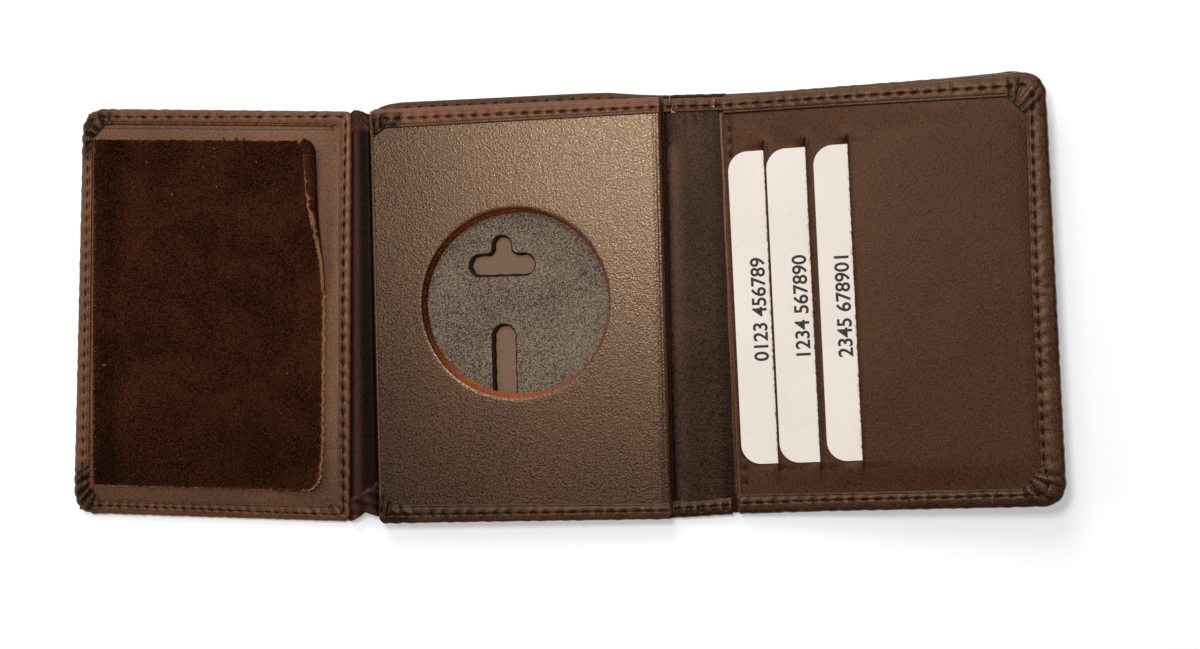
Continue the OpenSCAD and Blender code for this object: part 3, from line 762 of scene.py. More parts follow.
for angle in np.radians((22, 45, 68, 90)):
    flat = rect + outward * skin_roll * math.sin(angle)
    rolled = badge_z - skin_roll * (1 - math.cos(angle))
    rows.append(np.column_stack((flat, rolled + 0 * flat[:, 0])))
side_low = np.where(rect[:, 0] > 0, 3.2, 3.0)
for part in (0.3, 0.65, 1):
    wall = (badge_z - skin_roll) * (1 - part) + side_low * part
    rows.append(np.column_stack((rect + outward * skin_roll, wall)))
rows = np.array(rows)
x, y, z = rows[:, :, 0], rows[:, :, 1], rows[:, :, 2]
# Painted light and shade on the skin: highlights on its rolled edges and round the window's rim,
# darker towards the left and the bottom away from the sheen, a dark line in the pressed crease,
# partly the crease's own colour and partly painted shade, and painted shade on top of the right roll.
shaded_and_worn = np.full(x.shape, 0.5)
shaded_and_worn[len(from_hole):len(from_hole) + 3] += 0.22
shaded_and_worn[:2] += 0.3
shaded_and_worn = shaded_and_worn - 0.16 * smooth(-x, 15, 40) - 0.12 * smooth(-y, 5, 55)
shaded_and_worn = shaded_and_worn - 0.35 * hump(x - press_x, 0.3) - 0.12 * ((x > 38) & (z > 6.6))
badge_face = leather_form("badge_face", rows, wall=0.85, wear_and_shade=shaded_and_worn, seam=True)
finished(badge_face, panel_leather, "badge_panel", "panel_leather", "badge_skin")


# Board under the skin, glued to it and cut with it. Its sawn edge shows rust-red and fibrous in
# the window, with a raw rim that is wider on the left, and loose fibres.
def dress(node, finish):
    """Gives a piece that comes from the CAD its finish"""
    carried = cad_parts[node]
    carried.data.materials.clear()
    carried.data.materials.append(finish.material)


board_edge = Finish("board_edge", 0.9, 0.1)
strands = board_edge.cloud(0.9, 4.0, 0.7, 0.4, (1, 1, 3.0))
flecks = board_edge.cloud(2.6, 3.0, 0.8)
lit = board_edge.shaded_and_worn()
board_edge.colour(
    (strands * 0.7 + flecks * 0.7 + lit * 0.9 - 0.65).between(0.15, 0.85),
    (44, 17, 8), (184, 94, 46),
)
board_edge.raise_by(strands + flecks * 0.7, 0.25)
dress("badge_board", board_edge)
badge_face.data.materials.append(board_edge.material)
for face in badge_face.data.polygons:
    away = math.hypot(face.center[0] / MM - hole_x, face.center[1] / MM - hole_y)
    if away < hole_r + 0.02 and abs(face.normal[2]) < 0.5:
        face.material_index = 1

rng = np.random.default_rng(31)


def closed_ring(name, section, light=None):
    """A ring whose section, a list of rows round it, closes on itself"""
    rows = np.array(list(section) + [section[0]])
    rows = np.concatenate((rows, rows[:, :1]), axis=1)
    if light is not None:
        light = np.broadcast_to(np.append(light, light[0]), rows.shape[:2])
    piece = leather_form(name, rows, wear_and_shade=light, seam=True)
    edit_all(bpy.ops.mesh.normals_make_consistent, inside=False)
    return piece


def fibres(name, roots, ways, lengths, thick, place=on_badge):
    """Loose fibres, each a bent spike of three sides that tapers to its tip"""
    points, faces = [], []
    for k, (root, way, long) in enumerate(zip(np.array(roots), np.array(ways), lengths)):
        way = way / np.linalg.norm(way)
        side = np.cross(way, (0.3, 0.2, 0.9))
        side /= np.linalg.norm(side)
        up = np.cross(side, way)
        bow = side * long * 0.25 * math.sin(k * 2.4)
        for at, width in ((0, 1.0), (0.5, 0.8)):
            for a in (0, 2.094, 4.189):
                around = (side * math.cos(a) + up * math.sin(a)) * thick * width
                points.append(root + way * long * at + bow * at + around)
        points.append(root + way * long + bow * 0.4)
        n = 7 * k
        faces += [(n + 2, n + 1, n)]
        for a, b in ((0, 1), (1, 2), (2, 0)):
            faces += [(n + a, n + b, n + b + 3, n + a + 3), (n + a + 3, n + b + 3, n + 6)]
    mesh = bpy.data.meshes.new(name)
    mesh.from_pydata((put(np.array(points), place) * MM).tolist(), [], faces)
    piece = bpy.data.objects.new(name, mesh)
    bpy.context.collection.objects.link(piece)
    return piece


def in_window(radius, angle, z):
    """Points round the window's middle"""
    x, y = hole_x + radius * np.cos(angle), hole_y + radius * np.sin(angle)
    return np.column_stack((x, y, z + 0 * angle))


a = np.radians(np.linspace(0, 360, 181)[:-1])
rough = 0.07 * np.sin(a * 23) * np.sin(a * 11 + 1) + rng.uniform(-0.05, 0.05, len(a))
slope = 0.30 + 0.85 * smooth(-np.cos(a), -0.75, 0.25) + rough
# Painted light and shade round the window's wall: lighter at the bottom, which faces the light,
# darker on the left, and a painted shadow, nearly black, on the right in place of the thin gap there
# between board and backing.
lit_ring = 0.42 + 0.26 * smooth(-np.sin(a), 0.1, 0.9) - 0.16 * smooth(-np.cos(a), 0.5, 1.0)
lit_ring = lit_ring - 1.0 * np.exp(-((np.sin(a) / 0.15) ** 4)) * (np.cos(a) > 0)
rim_r, rim_back_r = 26.14, 26.17
rim_low, rim_high = 4.17, 6.22
section = [
    in_window(rim_r - slope * down, a, z)
    for down, z in ((0.0, rim_high), (0.15, 5.9), (0.45, 5.2), (0.8, 4.5), (1.0, rim_low))
] + [in_window(rim_back_r, a, z) for z in (rim_low, rim_high)]
raw_rim = closed_ring("window_raw_rim", section, lit_ring)
finished(raw_rim, board_edge, "badge_panel", "board")

count = 340
turn = rng.uniform(0, 2 * np.pi, count)
turn = np.where(np.cos(turn - 2.6) < rng.uniform(-1.2, 0.6, count), turn + 1.2, turn)
radius = 26.1 - rng.uniform(0, 0.5, count)
roots = in_window(radius, turn, rng.uniform(4.9, 6.7, count))
ways = np.column_stack((
    -np.cos(turn) + rng.normal(0, 0.7, count), -np.sin(turn) + rng.normal(0, 0.7, count),
    rng.normal(-0.1, 0.5, count),
))
fuzz = fibres("window_fibres", roots, ways, rng.uniform(0.3, 1.0, count), 0.055)
rust_fibre = clouded("rust_fibre", 0.9, 0.05, (96, 38, 18), (206, 96, 44), 0.5)
finished(fuzz, rust_fibre, "badge_panel", "board")

# Badge backing: a board of ground leather with a coarse salt-and-pepper face. It lies on the
# floor leather under the board, and the badge's clip goes through its two holes.
backing_grain = Finish("backing_grain", 0.75, 0.12)
salt = backing_grain.cloud(3.0, 3.0, 0.75)
pepper = backing_grain.pebbles(1.9)
patch = backing_grain.cloud(0.08, 2.0)
backing_grain.colour(
    ((salt - 0.5) * 3.8 + 0.5 + (patch - 0.5) * 0.4 - pepper * 0.3 + 0.12).between(0.0, 1.0),
    (38, 31, 26), (150, 130, 110),
)
backing_grain.raise_by(salt * 0.8 + pepper * 0.5, 0.16)
dress("badge_backing", backing_grain)

# Punched edges of the two clip holes, a bar with a round lobe above it and a slot that runs down
# under the skin: pressed in and rounded by the punch, and painted nearly black as shade in the holes'
# walls.
hole_black = Finish("hole_black", 0.8, 0.1)
crumbs = hole_black.cloud(2.5, 3.0, 0.7)
hole_black.colour(crumbs.between(0.2, 0.9), (12, 9, 8), (52, 42, 34))
hole_black.raise_by(crumbs, 0.1)
clip_x = hole_x - 3.8
bar_y, bar_half, bar_r = hole_y + 10.8, 6.15, 3.3
lobe_y, lobe_r, fillet_r = 5.5, 2.9, 1.4
fillet_x, fillet_y = lobe_r + fillet_r, bar_r + fillet_r
clover = np.concatenate((
    line((-bar_half, -bar_r), (bar_half, -bar_r), 20), arc((bar_half, 0), bar_r, -90, 90, 22),
    line((bar_half, bar_r), (fillet_x, bar_r), 4),
    arc((fillet_x, fillet_y), fillet_r, 270, 180, 8),
    line((lobe_r, fillet_y), (lobe_r, lobe_y), 3), arc((0, lobe_y), lobe_r, 0, 180, 20),
    line((-lobe_r, lobe_y), (-lobe_r, fillet_y), 3),
    arc((-fillet_x, fillet_y), fillet_r, 0, -90, 8),
    line((-fillet_x, bar_r), (-bar_half, bar_r), 4), arc((-bar_half, 0), bar_r, 90, 270, 22),
)) + (clip_x, bar_y)
slot_y, slot_r, slot_l = hole_y - 5.5, 3.5, 26
slot_hole = np.concatenate((
    through((-slot_r, -slot_l), 10, (slot_r, -slot_l), 36, (slot_r, -slot_r)),
    arc((0, -slot_r), slot_r, 0, 180, 24), line((-slot_r, -slot_r), (-slot_r, -slot_l), 36),
)) + (clip_x, slot_y)
for name, edge in (("clover_edge", clover), ("slot_edge", slot_hole)):
    along = np.roll(edge, -1, axis=0) - np.roll(edge, 1, axis=0)
    along /= np.linalg.norm(along, axis=1)[:, None]
    inwards = np.column_stack((-along[:, 1], along[:, 0]))
    broad = 1.0 + 0.75 * np.clip(inwards[:, 0], -0.5, 1) + 0.15 * np.clip(-inwards[:, 1], 0, 1)
    broad = broad + 0.12 * np.sin(np.arange(len(edge)) * 0.9)
    section = [
        np.column_stack((edge + inwards * (inset * broad)[:, None], np.full(len(edge), z)))
        for inset, z in (
            (-0.02, 4.13), (0.16, 4.08), (0.42, 3.8), (0.62, 3.3), (0.66, 3.02), (-0.02, 3.02)
        )
    ]
    piece = closed_ring(name, section)
    finished(piece, hole_black, "badge_panel", "backing_board")

# Leather floor glued in under the backing, seen pink-brown through the clip holes, and the dark
# leather walls of the bill pocket behind the panels.
floor_leather = leather(
    "floor_leather", (118, 92, 75), (216, 182, 156), 2.4, 0.05, 0.6, 0.15, 0.0, 0.7
)
liner_leather = leather("liner_leather", (36, 23, 17), (70, 48, 38), 1.7, 0.05, 0.55, 0.15)
dress("badge_floor", floor_leather)
dress("badge_liner", liner_leather)
dress("card_liner", liner_leather)

# Spine's inner leather: smooth and dark, laid loose between the panels and sewn in at its two
# ends, where the seams pucker it.
spine_leather = leather(
    "spine_leather", (15, 7, 5), (104, 74, 60), 1.7, 0.05, 0.36, 0.08, 0.05, 0.5
)
spine_left, spine_right, spine_end = 0.15, 17.9, 56.6
x, y = np.meshgrid(np.linspace(spine_left, spine_right, 46), np.linspace(-spine_end, spine_end, 150))
card_edge_x = 16.643 - y * math.tan(math.radians(card_turn))
x = 0.2 + (x - spine_left) / (spine_right - spine_left) * (np.minimum(card_edge_x, spine_right) - 0.3)
puckers = 0.10 * np.sin(x * 1.3 + 0.8 * np.sin(y * 0.3)) * np.sin(y * 0.11)
wrinkles = hump(54 - y, 5.5) * hump(x - 8.6, 3.4) * np.sin(x * 2.1 + 0.6 * np.sin(y * 0.6))
z = 2.22 + 0.07 * waves(x, y, 7) + hump(spine_end - np.abs(y), 7.0) * puckers
z = z + 0.132 * np.sin(np.pi * np.clip(x / 17, 0, 1)) - 0.25 * hump(x - 0.2, 1.0)
z = z + 0.08 * wrinkles
# Painted light and shade on the spine: a sheen band down its left side, stronger towards the top, a
# painted shadow beside the badge panel, darker towards the card panel, lighter near the top and light
# on the wrinkles.
sheen = hump(x - 2.8, 2.0) * (0.35 + 0.65 * smooth(y, -35, 25)) * smooth(-y, -47, -42)
shaded_and_worn = 0.30 + 0.34 * sheen - 0.35 * hump(x - 0.1, 0.8) - 0.16 * smooth(x, 12.5, 16)
shaded_and_worn = shaded_and_worn + 0.10 * smooth(y, 20, 50) * smooth(-x, -14, -7) + 0.08 * wrinkles
spine_face = leather_form(
    "spine_face", np.stack((x, y, z), axis=-1), on_spine, wall=0.5, wear_and_shade=shaded_and_worn
)
finished(spine_face, spine_leather, "spine", "liner_leather", "spine_liner")

# Card panel's slit leather: one skin, cut with three slits. It steps up over the cards and falls
# from the slits' ends to the turned edges. Its left edge is turned under and sewn by the spine.
slit_x = (10.6, 22.2, 33.8)
fall = (0.0102, 0.0256, 0.0415)
lip_z = (2.9, 4.03, 4.98)
slit_low, slit_high = -45.8, 44.2
face_end = 78.9
card_leather = leather(
    "card_leather", (32, 16, 10), (97, 60, 43), 1.8, 0.045, 0.38, 0.14, 0.10, 0.55
)


def over_card(i, x):
    """Height of the leather's top over card i"""
    return lip_z[i] - fall[i] * (x - slit_x[i]) + 0.55 + 0.7


def strips(x):
    """Height of the slit leather across the panel, between the slits' ends"""
    return np.select(
        [x <= slit_x[0], x <= slit_x[1], x <= slit_x[2], x <= face_end],
        [lip_z[0] + 0 * x, over_card(0, x), over_card(1, x), over_card(2, x)],
        np.interp(x, (face_end, 82), (over_card(2, face_end), 4.05)),
    )


def stretched(x):
    """Height of the uncut leather just beyond the slits' ends, drawn smooth over the steps"""
    at = (-1, 5, *slit_x, 44, 60, 79, 82.4)
    high = (2.9, 2.95, 3.35, 4.5, 5.55, 5.75, 5.1, 4.35, 4.0)
    return sum(np.interp(x + d, at, high) for d in (-2.4, -1.2, 0, 1.2, 2.4)) / 5


def edge_level(x):
    """Height of the leather along the turned edges, over the cards' linings"""
    return np.interp(x, (-1, 8, 34, 60, 90), (2.9, 3.0, 4.35, 4.3, 4.1))


def between_ends(y, past, inside):
    """1 between the slits' ends, 0 beyond them, eased from so far past to so far inside"""
    low = smooth(y, slit_low - past, slit_low + inside)
    return low * smooth(-y, -slit_high - past, -slit_high + inside)


columns = [np.linspace(-1.6, 0.3, 8)[:-1]]
edges = [0.3, *slit_x, 82.3]
for k, count in enumerate((20, 24, 24, 80)):
    columns.append(np.linspace(edges[k] + (0.05 if k else 0), edges[k + 1] - 0.05, count))
near_end = np.array((0, 0.25, 0.5, 1, 1.5, 2))
panel_y = np.unique(np.concatenate((
    np.linspace(-53.2, 53.0, 150), slit_low + near_end, slit_high - near_end,
)))
x, y = np.meshgrid(np.concatenate(columns), panel_y)
level = edge_level(x)
risen = smooth(y, -53.0, slit_low + 0.5) * smooth(-y, -53.0, -slit_high + 0.5)
z = level + (stretched(x) - level) * risen * smooth(82.5 - x, -0.5, 3.5)
z = z + between_ends(y, 0, 2) * (strips(x) - z)
z = z + 0.06 * waves(x, y, 9) * smooth(80 - x, 0, 6)
shaded_and_worn = np.full(x.shape, 0.5)
parted = between_ends(y, 1.5, 3)
slit_shaded = between_ends(y, 1.5, 1)
at_high_end = smooth(y, 41.6, 42.2) + smooth(-y, 43.9, 44.3)
for at in slit_x:
    away = np.abs(x - at)
    for end in (slit_low - 0.5, slit_high + 0.5):
        z = z + 0.36 * hump(x - at, 1.7) * hump(y - end, 1.6)
    z = z + 0.10 * (x > at) * parted * hump(away, 0.5) - 0.09 * parted * hump(away - 0.95, 0.28)
    # Painted shade along the slits' lips, a painted shadow in each slit's open end above the cards,
    # and a painted highlight on the bulge over its top end.
    shaded_and_worn = shaded_and_worn - 0.25 * slit_shaded * hump(away - 0.95, 0.25) - 0.2 * slit_shaded * hump(away, 0.35)
    shaded_and_worn = shaded_and_worn - 0.8 * slit_shaded * at_high_end * hump(away, 0.22)
    shaded_and_worn = shaded_and_worn + 0.22 * hump(x - at + 0.6, 1.8) * hump(y - slit_high - 1.6, 1.5)
z = z - 0.10 * hump(x + 0.7, 0.8) - 0.6 * smooth(-x, 0.6, 1.6) ** 2
# Painted highlight along the left rim by the spine, with painted shade just inside it.
shaded_and_worn = shaded_and_worn + 0.75 * hump(x + 0.9, 0.45) - 0.2 * hump(x - 0.1, 0.3)

# Its seam by the spine: the thread pulls a groove into the leather, deepest at the holes. The
# stitches lie in the groove, evenly spaced from end to end.
seam_x, seam_low, seam_high = 1.25, -50.1, 50.4
seam_pitch = (seam_high - seam_low) / 28
groove = hump(x - seam_x, 0.7)
hole = 0.5 + 0.5 * np.cos(2 * np.pi * (y - seam_low) / seam_pitch - np.pi)
z = z - groove * (0.12 + 0.2 * hole) * smooth(52.5 - np.abs(y), 0, 2)
# Painted shade in the groove, darkest at the holes, and a little painted light between them.
shaded_and_worn = shaded_and_worn - groove * (0.4 * hole - 0.1)
card_face = leather_form(
    "card_face_leather", np.stack((x, y, z), axis=-1), on_card, wear_and_shade=shaded_and_worn
)
bpy.ops.object.mode_set(mode="EDIT")
bpy.ops.mesh.select_all(action="DESELECT")
bpy.ops.object.mode_set(mode="OBJECT")
back = np.array(on_card.inverted())
for face in card_face.data.polygons:
    middle = back[:3, :3] @ (np.array(face.center) / MM) + back[:3, 3]
    from_slit = min(abs(middle[0] - at) for at in slit_x)
    face.select = bool(from_slit < 0.03 and slit_low < middle[1] < slit_high)
bpy.ops.object.mode_set(mode="EDIT")
bpy.ops.mesh.delete(type="FACE")
bpy.ops.object.mode_set(mode="OBJECT")
thicken(card_face, 0.66)
finished(card_face, card_leather, "card_panel", "panel_leather", "card_face")
seam_z = lip_z[0] - 0.14
path = np.column_stack((
    np.full(120, seam_x), np.linspace(seam_low, seam_high, 120), np.full(120, seam_z),
))
stitch_row("card_left_stitches", paced(path, seam_pitch), on_card, "card_panel", 0.8)

# Rounded left rim of the card panel: the slit leather's edge, turned under round the layers
# below it, with a painted highlight along its top that is brightest towards the panel's top end.
y = np.linspace(-51.6, 52.9, 150)
rim_x = np.interp(y, (-52, 53), (-1.35, -0.75)) + 0.08 * np.sin(y * 0.23)
around = np.radians(np.linspace(200, -20, 12))
rows = np.stack([
    np.column_stack((
        rim_x + 0.62 * math.cos(a), y, 2.38 + 0.5 * math.sin(a) + 0.04 * np.sin(y * 0.7)
    ))
    for a in around
])
lit_top = 0.10 + 0.65 * smooth(y, -45, 35)
shaded_and_worn = 0.25 + lit_top * hump(np.degrees(around) - 100, 26)[:, None]
card_rim = leather_form("card_left_rim", rows, on_card, wall=0.3, wear_and_shade=shaded_and_worn)
finished(card_rim, edge_leather, "card_panel", "panel_leather")

# Display cards of stiff cream paper, printed with plain digits that read up the card. Each one
# slides in its slit and lies on the strip to its left.
card_t = 0.35
cards_y = -0.8
card_paper = Finish("card_paper", 0.55, 0.3)
fibre = card_paper.cloud(1.2, 4.0, 0.7)
tint = card_paper.cloud(0.03, 2.0)
card_paper.colour((fibre * 0.5 + tint * 0.5).between(0.3, 0.7), (228, 217, 206), (240, 230, 220))
card_paper.raise_by(fibre, 0.02)
ink = clouded("ink", 0.6, 0.3, (34, 24, 20), (58, 44, 38), 1.5, 3.0)
for i, digits in enumerate(("0123 456789", "1234 567890", "2345 678901")):
    dress(f"card_{i + 1}", card_paper)
    on_slope = (
        on_card @ Matrix.Translation((slit_x[i], cards_y, lip_z[i]))
        @ turned("Y", math.degrees(math.atan(fall[i])))
    )
    bpy.ops.object.select_all(action="DESELECT")
    bpy.ops.object.text_add()
    print_form = bpy.context.object.data
    print_form.body = digits
    print_form.size = 5.5
    print_form.align_x = "CENTER"
    print_form.align_y = "CENTER"
    print_form.offset = 0.10
    print_form.extrude = 0.015
    bpy.ops.object.convert(target="MESH")
    printed = bpy.context.object
    printed.name = printed.data.name = f"card_{i + 1}_digits"
    printed.data.transform(
        Matrix.Scale(MM, 4) @ on_slope
        @ Matrix.Translation((-3.0, -0.6, 0.1 + card_t + 0.012))
        @ turned("Z", 90) @ Matrix.Diagonal((0.98, 1.0, 1.0, 1.0))
    )
    finished(printed, ink, f"card_{i + 1}", "card_paper")

# Linings of the three card pockets: thin dark woven cloth, glued to the leather beside each slit
# and hanging free behind the cards.
lining_cloth = Finish("lining_cloth", 0.8, 0.2)
weave = lining_cloth.pebbles(2.5)
lining_cloth.colour(weave, (22, 18, 17), (44, 37, 34))
lining_cloth.raise_by(weave, 0.08)
for i in range(3):
    dress(f"card_lining_{i + 1}", lining_cloth)

# Strip in the valley: soft dark leather sewn to both panels, with a crumpled hem at its top and
# a folded-up hem at its bottom, which runs higher beside the badge panel.
strip_leather = leather(
    "strip_leather", (12, 5, 4), (80, 50, 41), 1.8, 0.03, 0.42, 0.07, 0.2, 0.4
)
strip_left, strip_right = -48.95, -40.9
strip_out_z, strip_in_z = 2.55, 4.15
u, v = np.meshgrid(np.linspace(0, 1, 30), np.linspace(0, 1, 200))
top_end = np.interp(u, (0, 0.25, 0.45, 0.7, 1), (57.4, 57.9, 57.8, 56.9, 56.5))
low_end = np.interp(
    u, (0, 0.12, 0.35, 0.55, 0.8, 1), (-57.3, -57.2, -56.0, -54.8, -55.6, -56.3)
)
y = low_end + (top_end - low_end) * v
x = (strip_left + np.interp(y, (-57, 57), (-1.6, 1.7))) * (1 - u) + strip_right * u
z = strip_out_z + (strip_in_z - strip_out_z) * u + 0.40 * np.sin(np.pi * u)
z = z + 0.08 * waves(x * 3, y, 11)
from_hem = -y + 4.5 * u
top_hem = smooth(y, 51.8, 52.8)
low_hem = smooth(from_hem, 50.8, 51.5)
loose = 0.2 + 0.8 * smooth(1 - u, 0.15, 0.55)
top_fold, low_fold = np.sin(u * 13 + y * 1.5), np.sin(u * 9 + y * 1.3) * np.sin(y * 0.9 - 4 * u)
z = z + top_hem * loose * (0.55 + 0.3 * top_fold * np.sin(y * 1.1 + 3 * u))
z = z + low_hem * loose * (0.6 + 0.22 * low_fold)
z = z - 1.2 * hump(u, 0.12) - 1.0 * hump(1 - u, 0.10)
# Painted light and shade on the strip: a sheen band down it, dark towards both edges, highlights
# along the hems' folded edges, and light and shade on the hems' crumples.
shaded_and_worn = 0.12 + 0.48 * hump(u - 0.30, 0.15) * (1 - 0.6 * top_hem) * (1 - 0.7 * low_hem)
shaded_and_worn = shaded_and_worn + 0.35 * hump(y - 52.4, 0.5) + 0.35 * hump(from_hem - 51.6, 0.4)
shaded_and_worn = shaded_and_worn + (0.12 + 0.4 * top_fold**2) * top_hem + (0.18 + 0.3 * low_fold) * low_hem
strip = leather_form("valley_strip", np.stack((x, y, z), axis=-1), wall=0.8, wear_and_shade=shaded_and_worn)
finished(strip, strip_leather, "valley", "edge_leather", "hinge_strip")

# ID flap: its cover leather is turned over all four sides and sewn down through the field
# leather, pleated round the two left corners.
flap_corner_r = 6.0
flap_r = 2.0
flap_left_x = -73.2
outer = np.concatenate((
    line((-70, -57.15), (-1.2, -57.4), 200), arc((-1.0, -55.4), flap_r, -90, 0, 14),
    line((1.0, -55.2), (-0.9, 55.7), 330), arc((-2.9, 55.75), flap_r, 0, 90, 14),
    through((-3, 57.8), 200, (-70, 58.0), 10, (flap_left_x, 57.9)),
    arc((flap_left_x, 51.9), flap_corner_r, 90, 180, 24),
    through((-79.2, 51.9), 12, (-79.3, 47), 270, (-79.4, -47), 12, (-79.2, -51.2)),
    arc((flap_left_x, -51.2), flap_corner_r, 180, 270, 24),
    line((flap_left_x, -57.2), (-70, -57.15), 10),
))
inner = through(
    (-70, -53.2), 200, (-5, -53.1), 14, (-3.4, -51.5), 330, (-5.2, 51.8), 14, (-7.0, 53.5), 200,
    (-70, 53.6), 10, (-72.6, 53.4), 24, (-75.9, 49.8), 12, (-76.1, 47.6), 270, (-75.0, -46.5), 12,
    (-75.0, -49.0), 24, (-71.8, -53.0), 10, (-70, -53.2),
)
outer = np.concatenate((outer, outer[:1]))
inner = np.concatenate((inner, inner[:1]))
point = np.arange(len(outer))


def flap_sides(bottom, right, top, left):
    """A value for each side of the flap, eased over its corners"""
    corners = (190, 220, 540, 560, 780, 800, 1080, 1100)
    return np.interp(point, corners, (bottom, right, right, top, top, left, left, bottom))


right_fall = np.zeros(len(outer))
right_fall[206:554] = 0.32
# Painted light and shade: lighter along the top and the left side, darker in the two gathered
# corners, and darker down the right side towards its bottom.
tone_and_shade = np.interp(
    point, (190, 220, 540, 560, 750, 765, 808, 825, 1060, 1072, 1106, 1114),
    (-0.06, -0.28, -0.06, 0.08, 0.08, -0.16, -0.16, 0.08, 0.04, -0.2, -0.2, -0.06),
)
sewn_in = np.interp(
    point, (0, 214, 544, 758, 792, 1062, len(outer)), (2.2, 2.3, 2.1, 2.3, 1.9, 2.5, 2.2)
)
sewn_edge(
    "flap", "id_flap", on_flap, outer, inner, 0.15, 2.55, sewn_in, ("flap_cover",), long=0.75,
    pleats=((756, 816, 6.3, 1.0), (1064, 1114, 5.7, 1.0)), fall=right_fall, seam=True, tone_and_shade=tone_and_shade,
    ruck=flap_sides(0.08, 0.02, 0.13, 0.04), hollow=flap_sides(0.3, 0.2, 0.34, 0.2),
    pitch=flap_sides(2.7, 3.5, 3.8, 3.5), roll_light=0.1,
)

# Outside of the flap: the cover leather that lies on the table, cut out round the clear window
# so that a card in the pocket can be read from there.
counts = (60, 90, 60, 90)
window_half = (25.5, 41.5)
window_x = (8.5 - 79 - 5) / 2
rect_out = sides(((-78.1, -56.2), (-0.9, -56.2), (-0.9, 56.8), (-78.1, 56.8)), counts)
rect_in = sides([
    (window_x + a * window_half[0], b * window_half[1])
    for a, b in ((-1, -1), (1, -1), (1, 1), (-1, 1))
], counts)
rows = []
for part in (0, 0.03, 0.1, 0.25, 0.5, 0.75, 1):
    flat = rect_in + (rect_out - rect_in) * part
    lift = 0.04 + 0.04 * waves(flat[:, 0], flat[:, 1], 12) + 0.25 * math.exp(-part / 0.02)
    rows.append(np.column_stack((flat, lift)))
flap_back = leather_form("flap_outside", np.array(rows), on_flap, 0.8, (0, 0, -1), seam=True)
finished(flap_back, shell_leather, "id_flap", "shell_leather")

# Field of the flap: lighter smooth leather round the card pocket's opening. It lies under the
# turned edges and the suede page, and shows beside the page's raw edge.
field_leather = leather(
    "field_leather", (56, 35, 25), (140, 98, 75), 1.8, 0.025, 0.38, 0.34, 0.1, 0.45
)
rect_out = sides(((-77.4, -55), (-2.0, -55), (-3.4, 55.6), (-77.4, 55.6)), counts)
rect_in = sides(((-65.75, -44), (-10.5, -44), (-10.5, 46.5), (-65.75, 46.5)), counts)
from_pocket = (
    0, 0.02, 0.06, 0.15, 0.25, 0.35, 0.45, 0.55, 0.62, 0.64, 0.66, 0.68, 0.75, 0.85, 0.93, 1,
)
rows = []
for part in from_pocket:
    flat = rect_in + (rect_out - rect_in) * part
    crown = 0.10 * math.sin(math.pi * part) + 0.04 * waves(flat[:, 0] * 2, flat[:, 1], 14)
    crown = crown + 0.38 * smooth(flat[:, 0], -8.0, -4.4)
    rows.append(np.column_stack((flat, 1.98 + crown - 0.12 * math.exp(-part / 0.02))))
rows = np.array(rows)
# Painted shade: a dark line along the top turned edge's inner fold, and darker towards the bottom.
shaded_and_worn = 0.5 - 0.4 * hump(rows[:, :, 1] - 52.5, 0.16) - 0.2 * smooth(-rows[:, :, 1], 20, 55)
field = leather_form("flap_field_face", rows, on_flap, 0.72, wear_and_shade=shaded_and_worn, seam=True)
finished(field, field_leather, "id_flap", "panel_leather", "flap_field")

# Clear window of the card pocket: a sheet of soft plastic, a little hazy, sewn in between the
# flap's cover and field.
clear_plastic = Finish("clear_plastic", 0.12, 0.5)
clear_plastic.colour(clear_plastic.cloud(0.2, 2.0), (128, 144, 154), (150, 166, 176))
clear_plastic.shader.inputs["Alpha"].default_value = 0.5
dress("id_window", clear_plastic)

# Suede page over the card pocket: one sheet, sewn in along the flap's left edge and raw on the
# other three. Its top right corner has rolled up, and a round badge has left a faint ring in it.
suede = Finish("suede", 1.0, 0.03)
nap = suede.cloud(2.1, 3.0, 0.7)
brushed = suede.cloud(0.045, 3.0, 0.6, 0.6)
speck = suede.cloud(4.2, 2.0, 0.6)
rim_wear = suede.shaded_and_worn()
pile = suede.blend(
    ((nap - 0.5) * 1.8 + (brushed - 0.5) * 0.8 + (speck - 0.5) * 1.6 + rim_wear).between(0.0, 1.1),
    (14, 6, 3), (80, 42, 25),
)
suede.colour(rim_wear.between(0.72, 1.0), pile, (138, 94, 62))
suede.raise_by(nap * 0.7 + speck * 0.5, 0.3)

page_left, page_right, page_low, page_high, page_r = -75.2, -8.3, -48.95, 49.3, 4.0
roll_low = 7
near_end = page_r * (1 - np.cos(np.linspace(0, 1.57, 9)))
page_y = np.unique(np.concatenate((
    np.linspace(page_low, page_high, 120), page_low + near_end, page_high - near_end,
)))
u = np.concatenate((np.linspace(0, 0.86, 76), np.linspace(0.862, 1, 44)))
u, y = np.meshgrid(u, page_y)
from_middle = np.abs(y - (page_low + page_high) / 2)
over = np.clip(from_middle - ((page_high - page_low) / 2 - page_r), 0, page_r)
corner = page_r - np.sqrt(page_r**2 - over**2)
nibbled = 0.14 * np.sin(y * 2.9 + 2 * np.sin(y * 0.7)) + 0.09 * np.sin(y * 6.1)
cut = np.interp(y, (-49, -37, 7, 20, 50), (0.6, 1.2, 0.8, 0.2, 0))
left = page_left + np.interp(y, (-49, 49), (1.5, -0.4))
wide = page_right + nibbled + cut - corner - left
along = u * wide
fold_at = np.interp(
    y, (roll_low, 14, 22, 30, 38, 44, 46.5, 48.3, page_high),
    (-7.6, -8.5, -9.7, -10.6, -11.1, -11.4, -11.6, -12.4, -14.2),
)
curl_r = np.interp(y, (roll_low, 20, 35, 50), (2.4, 1.15, 0.95, 0.85))
flat_end = fold_at - curl_r - left
spare = np.clip(along - flat_end, 0, None) * (y > roll_low)
angle = spare / curl_r
px = np.where(spare > 0, left + flat_end + curl_r * np.sin(angle), left + along)
pz = np.where(spare > 0, curl_r * (1 - np.cos(angle)), 0)
